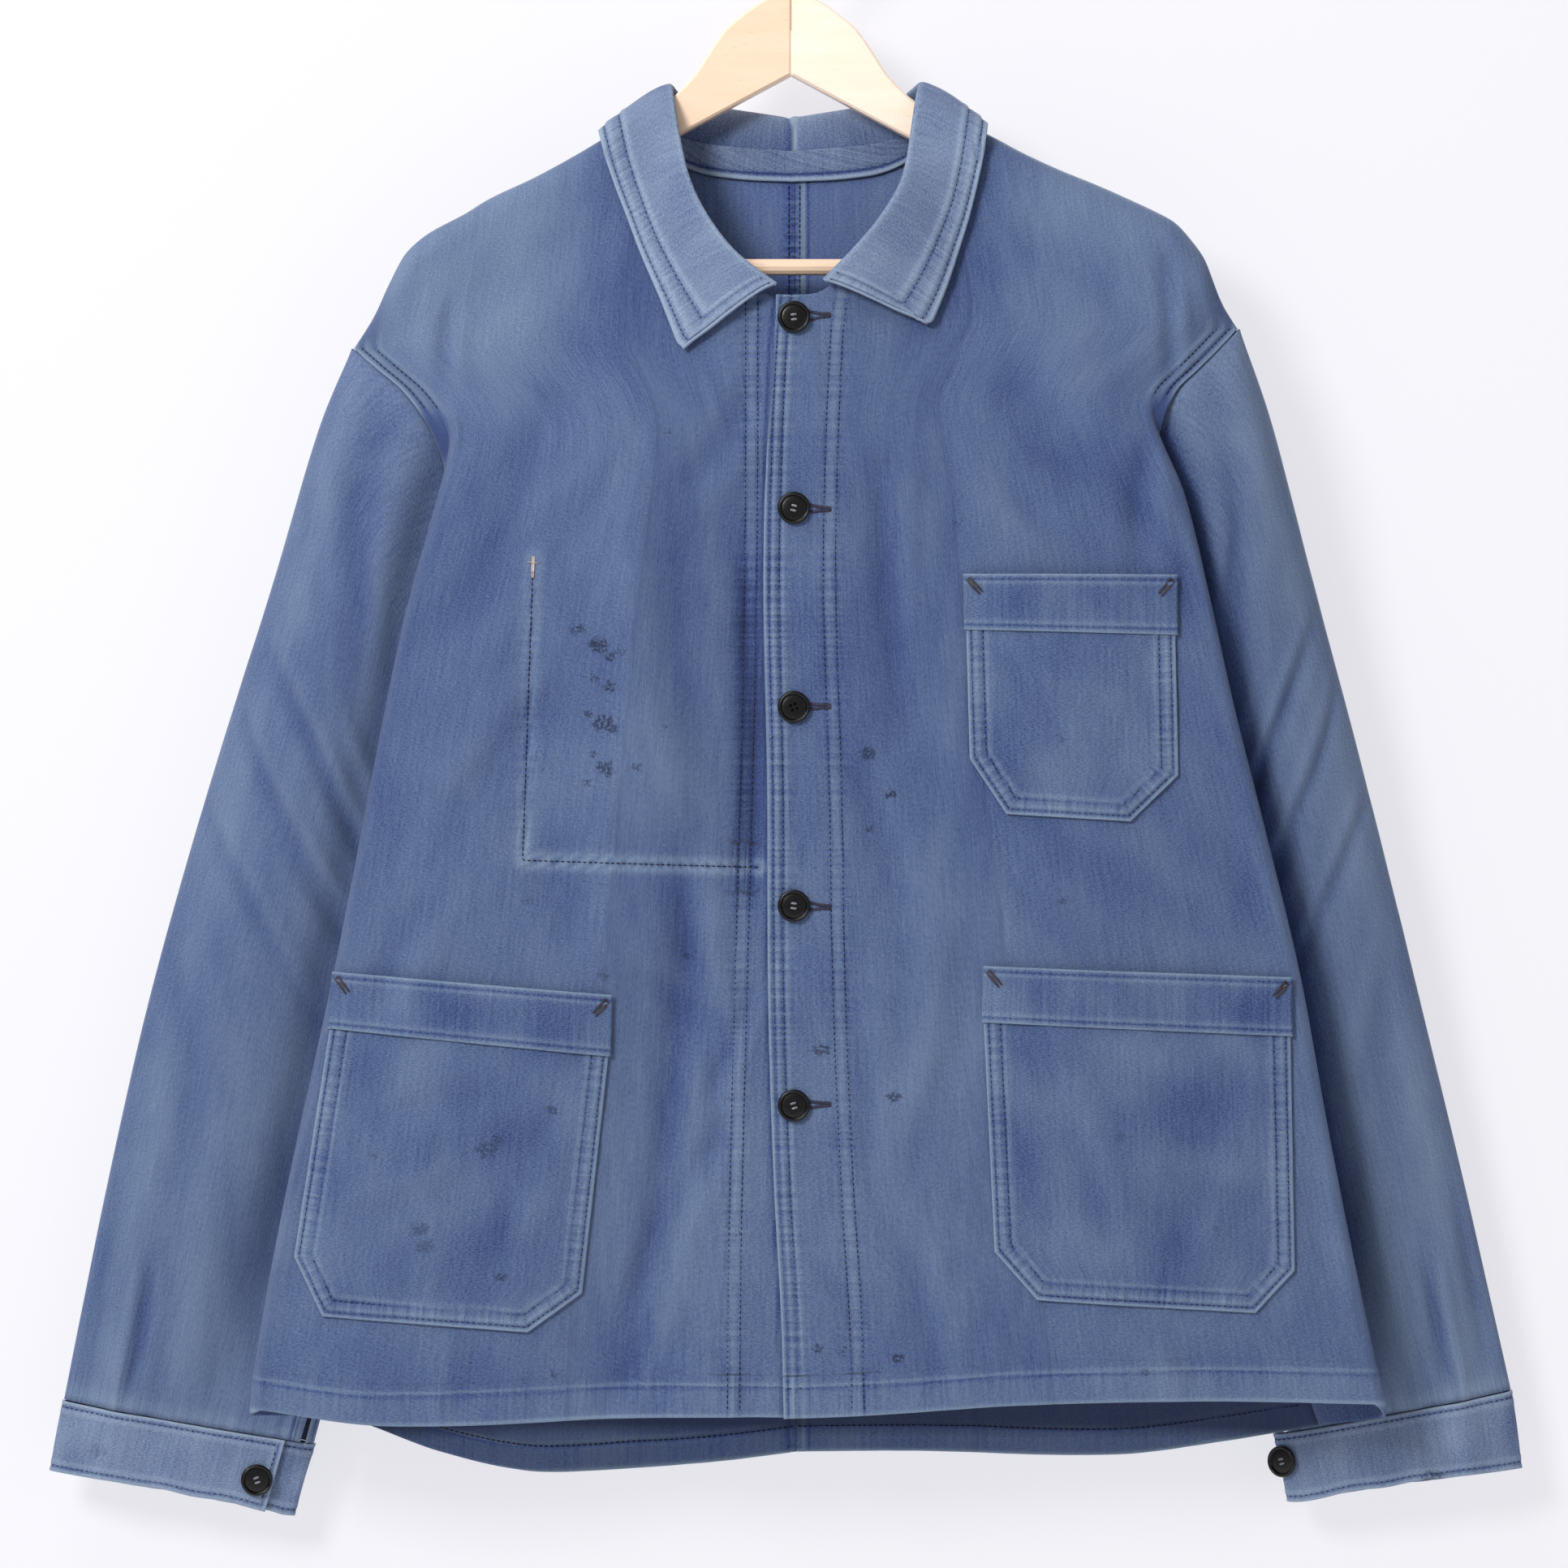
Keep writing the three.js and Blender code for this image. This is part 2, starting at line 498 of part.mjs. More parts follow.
const SLEEVE_ROWS = [
  0, 0.02, 0.05, 0.09, 0.14, 0.2, 0.27, 0.34, 0.42, 0.5, 0.58, 0.66, 0.74, 0.81, 0.87, 0.91, 0.95, 0.9993,
];
function sleeve(side) {
  const slit = (t) => lerp(0.012, 0.05, smooth(t, 0.9, 1));
  const angleAt = (share, t) => SLEEVE_SEAM_ANGLE - slit(t) - share * (2 * Math.PI - 2 * slit(t));
  const at = (share, t) => sleevePoint(side, t, angleAt(share, t));
  const axis = (t) => sleevePoint(side, t, 0).add(sleevePoint(side, t, Math.PI)).multiplyScalar(0.5);
  return wall(steps(24), SLEEVE_ROWS, at, (point, share, t) => axis(t).sub(point), CLOTH);
}

// A cuff is one strip round the sleeve's end. Its front end is the buttoned flap, and its other end lies
// under that flap.
const CUFF = { overlap: 0.09 * Math.PI, tuck: 3.6, proud: 0.9 };

const cuffOutward = (side, angle) =>
  new THREE.Vector3(side.sign * Math.cos(angle) * 0.16, -Math.sin(angle), 0).normalize();

// A point on a cuff's outer face, at an angle as on the sleeve, and down from 0 at its top to 1 at its foot.
function cuffPoint(side, angle, down) {
  const top = sleevePoint(side, 1, angle);
  const inner = (1 - Math.cos(angle)) / 2;
  const footX = lerp(side.cuffFoot.ox, side.cuffFoot.ix, inner) * side.sign;
  const foot = new THREE.Vector3(footX, top.y, lerp(side.cuffFoot.oz, side.cuffFoot.iz, inner));
  const underFlap = side.flapEnd - 2 * Math.PI;
  const tuck = CUFF.tuck * smooth(angle, underFlap + 0.22 * Math.PI, underFlap + 0.05 * Math.PI);
  return top.lerp(foot, down).addScaledVector(cuffOutward(side, angle), CUFF.proud - tuck);
}
function cuff(side) {
  const angleAt = (share) => side.flapEnd - share * (2 * Math.PI + CUFF.overlap);
  const at = (share, down) => cuffPoint(side, angleAt(share), down);
  const inward = (point, share) => cuffOutward(side, angleAt(share)).negate();
  return wall(steps(26), [0.004, 0.34, 0.67, 1], at, inward, DOUBLE_CLOTH);
}

// The collar's middle layer: s is 0 at the right front end, a half at the centre back, 1 at the left front
// end, and t is 0 at the neck seam, COLLAR_ROLL on the roll, and 1 at the leaf's edge.
const COLLAR_ROLL = 0.34;
const COLLAR_LIFT = 4; // of the leaf's edge off the cloth below it
const COLLAR_SHOULDER = 0.72; // the station over the shoulder seam

function collarPoint(s, t) {
  const side = s < 0.5 ? SIDES.right : SIDES.left;
  const at = s < 0.5 ? s * 2 : (1 - s) * 2;
  const value = (column) => along(side.collar, "s", at, column);
  const neckline = at < COLLAR_SHOULDER ? NECKLINE : BACK_NECKLINE;
  const seamX = Math.min(value("x"), NECK_POINT);
  const onBack = smooth(at, COLLAR_SHOULDER - 0.1, COLLAR_SHOULDER + 0.1);
  const seamZ = along(neckline, "x", seamX, "z");
  const depthAt = at < COLLAR_SHOULDER ? frontDepth : backDepth;
  const seamY = depthAt(side, seamX * side.sign, seamZ) + lerp(CLOTH / 2, -CLOTH / 2, onBack);
  const neck = new THREE.Vector3(seamX, seamY, seamZ + lerp(3.5, 2, onBack));
  const roll = new THREE.Vector3(value("rx"), value("ry"), value("rz"));
  const up = roll.clone().sub(neck);
  const edge = new THREE.Vector3(value("ex"), value("ey"), value("ez"));
  if (at < 0.66) {
    const overFront = frontDepth(side, edge.x * side.sign, edge.z) - COLLAR_LIFT;
    edge.y = lerp(overFront, edge.y, smooth(at, 0.5, 0.66));
  }
  const atBack = smooth(at, 0.86, 1);
  const outward = new THREE.Vector3(lerp(edge.x - roll.x, 0, atBack), lerp(edge.y - roll.y, 8, atBack), 0);
  outward.normalize();
  const stand = new THREE.CubicBezierCurve3(
    neck,
    neck.clone().add(new THREE.Vector3(0, 0, up.length() * 0.35)),
    roll.clone().addScaledVector(outward, -Math.min(2.5, up.length() * 0.3)),
    roll,
  );
  const fall = new THREE.CubicBezierCurve3(
    roll,
    roll.clone().addScaledVector(outward, 5.5),
    edge.clone().lerp(roll, 0.55).addScaledVector(outward, 5),
    edge,
  );
  const onStand = t < COLLAR_ROLL;
  const point = onStand ? stand.getPoint(t / COLLAR_ROLL) : fall.getPoint((t - COLLAR_ROLL) / (1 - COLLAR_ROLL));
  point.x *= side.sign;
  return point;
}
const COLLAR_ACROSS = [0, 0.03, 0.12, 0.22, 0.3, COLLAR_ROLL, 0.39, 0.46, 0.58, 0.72, 0.86, 1];
function collar() {
  return wall(steps(40), COLLAR_ACROSS, collarPoint, forward, DOUBLE_CLOTH, -DOUBLE_CLOTH / 2);
}

// The band that covers the seam between the collar and the back, inside the neck.
function neckBand() {
  const inFront = DOUBLE_CLOTH / 2 + GAP * 2;
  return wall(steps(6, 17 / 40, 23 / 40), [0.12, 0.025], collarPoint, forward, PATCH_CLOTH, inFront);
}

// Pockets: the corners of each side, in x and z on a front, at the top, under the band, where the lower
// corner is cut, and at the foot.
const POCKETS = {
  chest_pocket: {
    side: "left",
    inner: table("x z", [[96.5, -378.2], [97, -409], [99, -480.8], [119.3, -511.4]]),
    outer: table("x z", [[213, -378.5], [213, -411.9], [214.7, -489.8], [188.1, -515.4]]),
  },
  low_pocket_left: {
    side: "left",
    inner: table("x z", [[107.5, -595.5], [106.5, -626.6], [112.6, -753.8], [136.1, -780.5]]),
    outer: table("x z", [[276.5, -602], [277, -634.7], [279.5, -764.6], [257.5, -788.2]]),
  },
  low_pocket_right: {
    side: "right",
    inner: table("x z", [[-100.2, -611.8], [-101.4, -645.9], [-116.1, -777.5], [-146.1, -798.8]]),
    outer: table("x z", [[-253.5, -598.8], [-256, -630.2], [-276, -757], [-260, -789.9]]),
  },
};

// The point of a line of corners: 0 to 1 from its first corner to its second, and so on.
function alongCorners(corners, place) {
  const i = Math.min(Math.floor(place), corners.length - 2);
  return [lerp(corners[i].x, corners[i + 1].x, place - i), lerp(corners[i].z, corners[i + 1].z, place - i)];
}
function pocketPoint(pocket, across, place, spread) {
  const side = SIDES[pocket.side];
  const [innerX, innerZ] = alongCorners(pocket.inner, place);
  const [outerX, outerZ] = alongCorners(pocket.outer, place);
  const x = lerp(innerX - side.sign * spread, outerX + side.sign * spread, across);
  const z = lerp(innerZ, outerZ, across);
  const slack = 1.6 * Math.sin(Math.PI * across) * Math.sin((Math.PI * Math.min(place, 2.6)) / 2.6);
  const gape = 2 * Math.sin(Math.PI * across) * smooth(place, 0.8, 0);
  return new THREE.Vector3(x, frontDepth(side, x, z) - slack - gape, z);
}
function pocketBag(pocket) {
  const rows = [0.03, 0.5, 1, 1.25, 1.5, 1.75, 2, 2.5, 3];
  return wall(steps(9), rows, (c, r) => pocketPoint(pocket, c, r, 0), forward, PATCH_CLOTH, GAP * 2);
}
function pocketBand(pocket) {
  const lift = GAP * 3 + PATCH_CLOTH;
  return wall(steps(9), [0, 0.5, 1], (c, r) => pocketPoint(pocket, c, r, 1.2), forward, PATCH_CLOTH, lift);
}

// The inner pocket hangs behind the wearer's right front, where its stitching shows through.
const INNER_POCKET = { outer: -147, inner: -26, top: -372, foot: -537 };
function innerPocket() {
  const at = (across, down) => {
    const x = lerp(INNER_POCKET.outer - 4 * down, INNER_POCKET.inner, across);
    const z = lerp(INNER_POCKET.top, INNER_POCKET.foot - 4 * across, down);
    return new THREE.Vector3(x, frontDepth(SIDES.right, x, z), z);
  };
  return wall(steps(10), steps(7), at, backward, PATCH_CLOTH, CLOTH + 1.5);
}

// A button with a raised rim round a dished middle. Its back is at the origin, and it faces -Y.
function button() {
  const profile = [
    [0, 0], [BUTTON_RADIUS * 0.8, 0], [BUTTON_RADIUS, 0.9], [BUTTON_RADIUS, 2.1],
    [BUTTON_RADIUS * 0.88, BUTTON_THICKNESS], [BUTTON_RADIUS * 0.74, 2.2], [0, 1.9],
  ].map(([r, h]) => new THREE.Vector2(r, h));
  return new THREE.LatheGeometry(profile, 14).rotateX(Math.PI);
}
function placedButton(name, position, turn = 0) {
  const mesh = named(name, button(), blackPlastic);
  mesh.rotation.z = turn;
  mesh.position.copy(position);
  return mesh;
}

// Solids for the joins and cuts of the hanger.
function solidOf(geometry) {
  const plain = geometry.index ? geometry.toNonIndexed() : geometry.clone();
  plain.deleteAttribute("normal");
  plain.deleteAttribute("uv");
  const merged = mergeVertices(plain, 1e-4);
  const vertProperties = merged.attributes.position.array;
  const triVerts = new Uint32Array(merged.index.array);
  return new wasm.Manifold(new wasm.Mesh({ numProp: 3, vertProperties, triVerts }));
}
function geometryOf(solid) {
  const { vertProperties, triVerts } = solid.getMesh();
  const geometry = new THREE.BufferGeometry();
  geometry.setAttribute("position", new THREE.BufferAttribute(vertProperties, 3));
  geometry.setIndex(new THREE.BufferAttribute(triVerts, 1));
  return geometry;
}

// One arm's outline, from its mitre at the middle to its round tip, which is deeper where it takes the bar.
const ARM_TOP = table("x z", [
  [0, -50], [14, -53], [24.5, -60], [37, -70.5], [45.7, -83], [54, -96], [66, -108.5], [75, -115.5],
  [86, -125.5], [141.7, -160.5], [183, -183], [ARM_LENGTH - 9, -195],
]);
const ARM_STEPS = [
  8, 14, 19, 24.5, 31, 37, 41.5, 45.7, 50, 54, 60, 66, 75, 86, 141.7, 183, ARM_LENGTH - 9,
];
const ARM_FOOT = [[ARM_LENGTH - 12, -213], [186, -213], [172, -194], [68.5, -133], [0, -95.5]];

function hangerArm(sign) {
  const outline = new THREE.Shape();
  outline.moveTo(0, ARM_TOP[0].z);
  for (const x of ARM_STEPS) outline.lineTo(x, along(ARM_TOP, "x", x, "z"));
  outline.bezierCurveTo(ARM_LENGTH + 1, -196, ARM_LENGTH + 1, -213, ARM_FOOT[0][0], ARM_FOOT[0][1]);
  for (const [x, z] of ARM_FOOT.slice(1)) outline.lineTo(x, z);
  const bevel = 1.2;
  const board = new THREE.ExtrudeGeometry(outline, {
    depth: ARM_THICKNESS - 2 * bevel,
    curveSegments: 4,
    bevelThickness: bevel,
    bevelSize: bevel,
    bevelOffset: -bevel,
    bevelSegments: 1,
  });
  board.translate(0, 0, -ARM_THICKNESS / 2 + bevel).rotateX(Math.PI / 2);
  const sweep = new THREE.Matrix4().set(1, 0, 0, 0, -ARM_SWEEP, 1, 0, 0, 0, 0, 1, 0, 0, 0, 0, 1);
  const mitre = new THREE.BoxGeometry(20, 40, 200).translate(-10 + GAP / 2, 0, -60);
  const wireHole = new THREE.CylinderGeometry(WIRE_RADIUS + GAP, WIRE_RADIUS + GAP, 28, 12);
  const barHole = new THREE.CylinderGeometry(BAR_RADIUS + GAP, BAR_RADIUS + GAP, 2 * BAR_HALF + 2 * GAP, 12);
  const arm = solidOf(board.applyMatrix4(sweep))
    .subtract(solidOf(mitre))
    .subtract(solidOf(wireHole.rotateX(Math.PI / 2).translate(0, 0, ARM_TOP[0].z - 8)))
    .subtract(solidOf(barHole.rotateZ(Math.PI / 2).translate(0, BAR_Y, BAR_HEIGHT)));
  return geometryOf(sign > 0 ? arm : arm.mirror([1, 0, 0]));
}

function hangerBar() {
  const bar = new THREE.CylinderGeometry(BAR_RADIUS, BAR_RADIUS, 2 * BAR_HALF, 12);
  return bar.rotateZ(Math.PI / 2).translate(0, BAR_Y, BAR_HEIGHT);
}

// The wire: up out of the wood, into the round of the hook, and over to its free end.
function hangerHook() {
  const centre = -(HOOK_RADIUS - WIRE_RADIUS);
  const onRound = (degrees) => {
    const angle = THREE.MathUtils.degToRad(degrees);
    return new THREE.Vector3(HOOK_RADIUS * Math.cos(angle), 0, centre + HOOK_RADIUS * Math.sin(angle));
  };
  const route = [
    new THREE.Vector3(0, 0, ARM_TOP[0].z - 20),
    new THREE.Vector3(0, 0, ARM_TOP[0].z - 6),
    new THREE.Vector3(0.5, 0, ARM_TOP[0].z + 4),
    new THREE.Vector3(5, 0, centre - HOOK_RADIUS + 0.6),
    ...[-50, -25, 0, 25, 50, 75, 100, 125, 150, 175, 195].map(onRound),
  ];
  const section = new THREE.Shape().absarc(0, 0, WIRE_RADIUS, 0, 2 * Math.PI);
  return new THREE.ExtrudeGeometry(section, {
    steps: 30,
    curveSegments: 5,
    extrudePath: new THREE.CatmullRomCurve3(route, false, "centripetal"),
  });
}

// The whole object
const jacket = new THREE.Group();
for (const [name, side] of Object.entries(SIDES)) {
  jacket.add(named(`front_${name}`, front(side), moleskin));
  jacket.add(named(`back_${name}`, back(side), moleskin));
  jacket.add(named(`sleeve_${name}`, sleeve(side), moleskin));
  jacket.add(named(`cuff_${name}`, cuff(side), fadedMoleskin));
}
jacket.add(named("collar", collar(), fadedMoleskin));
jacket.add(named("neck_band", neckBand(), moleskin));
for (const [name, pocket] of Object.entries(POCKETS)) {
  jacket.add(named(name, pocketBag(pocket), fadedMoleskin));
  jacket.add(named(`${name}_band`, pocketBand(pocket), moleskin));
}
jacket.add(named("inner_pocket", innerPocket(), moleskin));
jacket.add(named("hanger_arm_right", hangerArm(-1), beech));
jacket.add(named("hanger_arm_left", hangerArm(1), beech));
jacket.add(named("hanger_bar", hangerBar(), beech));
jacket.add(named("hanger_hook", hangerHook(), steelWire));
BUTTON_HEIGHTS.forEach((z, i) => {
  const nearest = Math.min(...[-8, 0, 8].map((up) => frontDepth(SIDES.left, CLOSING_X, z + up)));
  jacket.add(placedButton(`button_${i + 1}`, new THREE.Vector3(CLOSING_X, nearest - GAP, z)));
});
for (const [name, side] of Object.entries(SIDES)) {
  const { angle, down } = side.cuffButton;
  const outward = cuffOutward(side, angle);
  const place = cuffPoint(side, angle, down).addScaledVector(outward, GAP * 2);
  jacket.add(placedButton(`cuff_button_${name}`, place, Math.asin(outward.x)));
}

export default jacket;
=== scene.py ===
import math

import bmesh
import bpy
import numpy as np
from mathutils import Matrix, Vector


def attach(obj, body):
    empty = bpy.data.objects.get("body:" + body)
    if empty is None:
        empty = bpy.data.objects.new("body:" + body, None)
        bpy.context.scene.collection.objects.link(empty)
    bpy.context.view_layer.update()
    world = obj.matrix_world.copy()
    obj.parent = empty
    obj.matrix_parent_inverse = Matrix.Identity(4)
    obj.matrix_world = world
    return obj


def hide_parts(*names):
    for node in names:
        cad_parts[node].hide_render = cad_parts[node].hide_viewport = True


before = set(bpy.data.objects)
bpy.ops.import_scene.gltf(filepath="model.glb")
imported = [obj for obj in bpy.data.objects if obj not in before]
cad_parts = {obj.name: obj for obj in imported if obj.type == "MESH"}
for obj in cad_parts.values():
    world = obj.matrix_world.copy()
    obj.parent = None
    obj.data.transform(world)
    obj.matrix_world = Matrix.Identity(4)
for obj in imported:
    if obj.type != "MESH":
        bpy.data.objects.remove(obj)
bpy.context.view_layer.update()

bl_info = {
    "name": "Worn Chore Jacket on a Hanger",
    "version": (1, 0, 0),
    "blender": (4, 5, 0),
    "location": "3D View > Sidebar > Chore Jacket",
    "description": "Dresses the packed chore jacket: creased cloth, topstitching, buttons and hanger",
    "category": "Object",
}

# Lengths are worked out in millimetres, as for the solids, and turned to metres where a mesh is made.
MM = 0.001


# ---- Small maths on arrays ----
def lerp(a, b, t):
    return a + (b - a) * t


def smooth(x, start, end):
    t = np.clip((x - start) / (end - start), 0, 1)
    return t * t * (3 - 2 * t)


def bell(x, width):
    return np.exp(-((x / width) ** 2))


def table(names, rows):
    return dict(zip(names.split(), np.array(rows, dtype=float).T))


def along(rows, key, at, column):
    """One column of a table where another, which rises, has the value at: a smooth curve through its rows."""
    keys, values = rows[key], rows[column]
    last = len(keys) - 1
    at = np.clip(at, keys[0], keys[last])
    i = np.clip(np.searchsorted(keys, at, side="right") - 1, 0, last - 1)
    order = np.arange(last + 1)
    before, after = np.maximum(order - 1, 0), np.minimum(order + 1, last)
    slope = (values[after] - values[before]) / (keys[after] - keys[before])
    span = keys[i + 1] - keys[i]
    t = (at - keys[i]) / span
    return (
        values[i] * (2 * t**3 - 3 * t**2 + 1)
        + slope[i] * span * (t**3 - 2 * t**2 + t)
        + values[i + 1] * (3 * t**2 - 2 * t**3)
        + slope[i + 1] * span * (t**3 - t**2)
    )


def ripple(position, length, seed):
    """Uneven waves of about one length, between -1 and 1, as cloth draws up along a seam."""
    turn = 2 * np.pi * position / length
    swell = 0.62 + 0.38 * np.sin(turn / 5.3 + seed * 1.3)
    return swell * np.sin(turn + 1.7 * np.sin(turn / 3.7 + seed) + seed * 2.1)


def drift(a, b, size, seed):
    """A slow uneven field over two coordinates, between about -1 and 1."""
    total = 0
    for k in range(4):
        turn = seed * 1.9 + k * 2.4
        across = (a * math.cos(turn) + b * math.sin(turn)) / size * (1 + 0.37 * k)
        other = (b * math.cos(turn) - a * math.sin(turn)) / size * (1 + 0.29 * k)
        total = total + np.sin(across * 6.28 + seed + k + 1.3 * np.sin(other * 4.1 + k)) / (1.6 + 0.6 * k)
    return total / 1.6


def xyz(x, y, z):
    return np.stack(np.broadcast_arrays(x, y, z), axis=-1).astype(float)


# ---- The jacket's sizes, as its solids have them ----
GAP = 0.3  # between pieces that meet
CLOTH = 1.6
DOUBLE_CLOTH = 2.4
PATCH_CLOTH = 1.2
CLOSING_X = 1.4
UNDERLAP = 16
LAP_STEP = 3
BACK_SEAM_X = 2.4
FOLD_RADIUS = 6.5
SHOULDER_ROUND = 13
NECK_POINT = 86
NECK_POINT_Z = -118
ARM_SWEEP = math.tan(math.radians(5))
WIRE_RADIUS = 1.8
HOOK_RADIUS = 19.8
NECK_DIP, NECK_DIP_WIDTH = 2.4, 14  # how far the shoulder sinks at the neck point, under the collar
SLEEVE_SEAM_ANGLE = 0.87 * math.pi
SLEEVE_CLEARANCE = 4
SLEEVE_LENGTH = 640
SLEEVE_RADIUS, SEAM_RADIUS = 46, 50  # turn an angle round a sleeve to a length, at its front and at its seam
CUFF_OVERLAP = 0.09 * math.pi
CUFF_DEPTH = 39
CUFF_GIRTH = 330
COLLAR_LENGTH = 560
COLLAR_DEPTH = 90
LEAF_DEPTH = 62  # the turned part of the collar
COLLAR_ROLL = 0.34
COLLAR_LIFT = 4
COLLAR_SHOULDER = 0.72
BAND_DEPTH = 32  # a pocket's band
BAND_SPREAD = 1.2  # how far it stands past the bag on each side
BAG_LIFT, BAND_LIFT = GAP * 2 + PATCH_CLOTH, GAP * 3 + 2 * PATCH_CLOTH

# Rows of stitches, as distances in millimetres from the edge they follow.
CLOSING_ROWS = [3.3, 8.8]
FACING_ROWS = [0, 6.8]
FRONT_HEM_ROW = 16.8
BACK_HEM_ROW = 14.5
WELT_ROWS = [3, 8]
WELT_SLOPE = 0.7  # a front's armhole seam is slanted, so a distance across it is less than it is sideways
SLEEVE_ROWS = [2, 8.5]
CUFF_ROWS = [3.2]
COLLAR_ROWS = [2.4, 9]
POCKET_ROWS = [2.8, 9.2]
BAND_ROWS = [2.6]

BUTTON_HEIGHTS = [-235.5, -341.7, -452, -562.2, -672.9]
HOLE_OFFSET = 1.35  # of a button's four holes from its middle, each way
UNTHREADED = "button_3"  # its thread has worn away

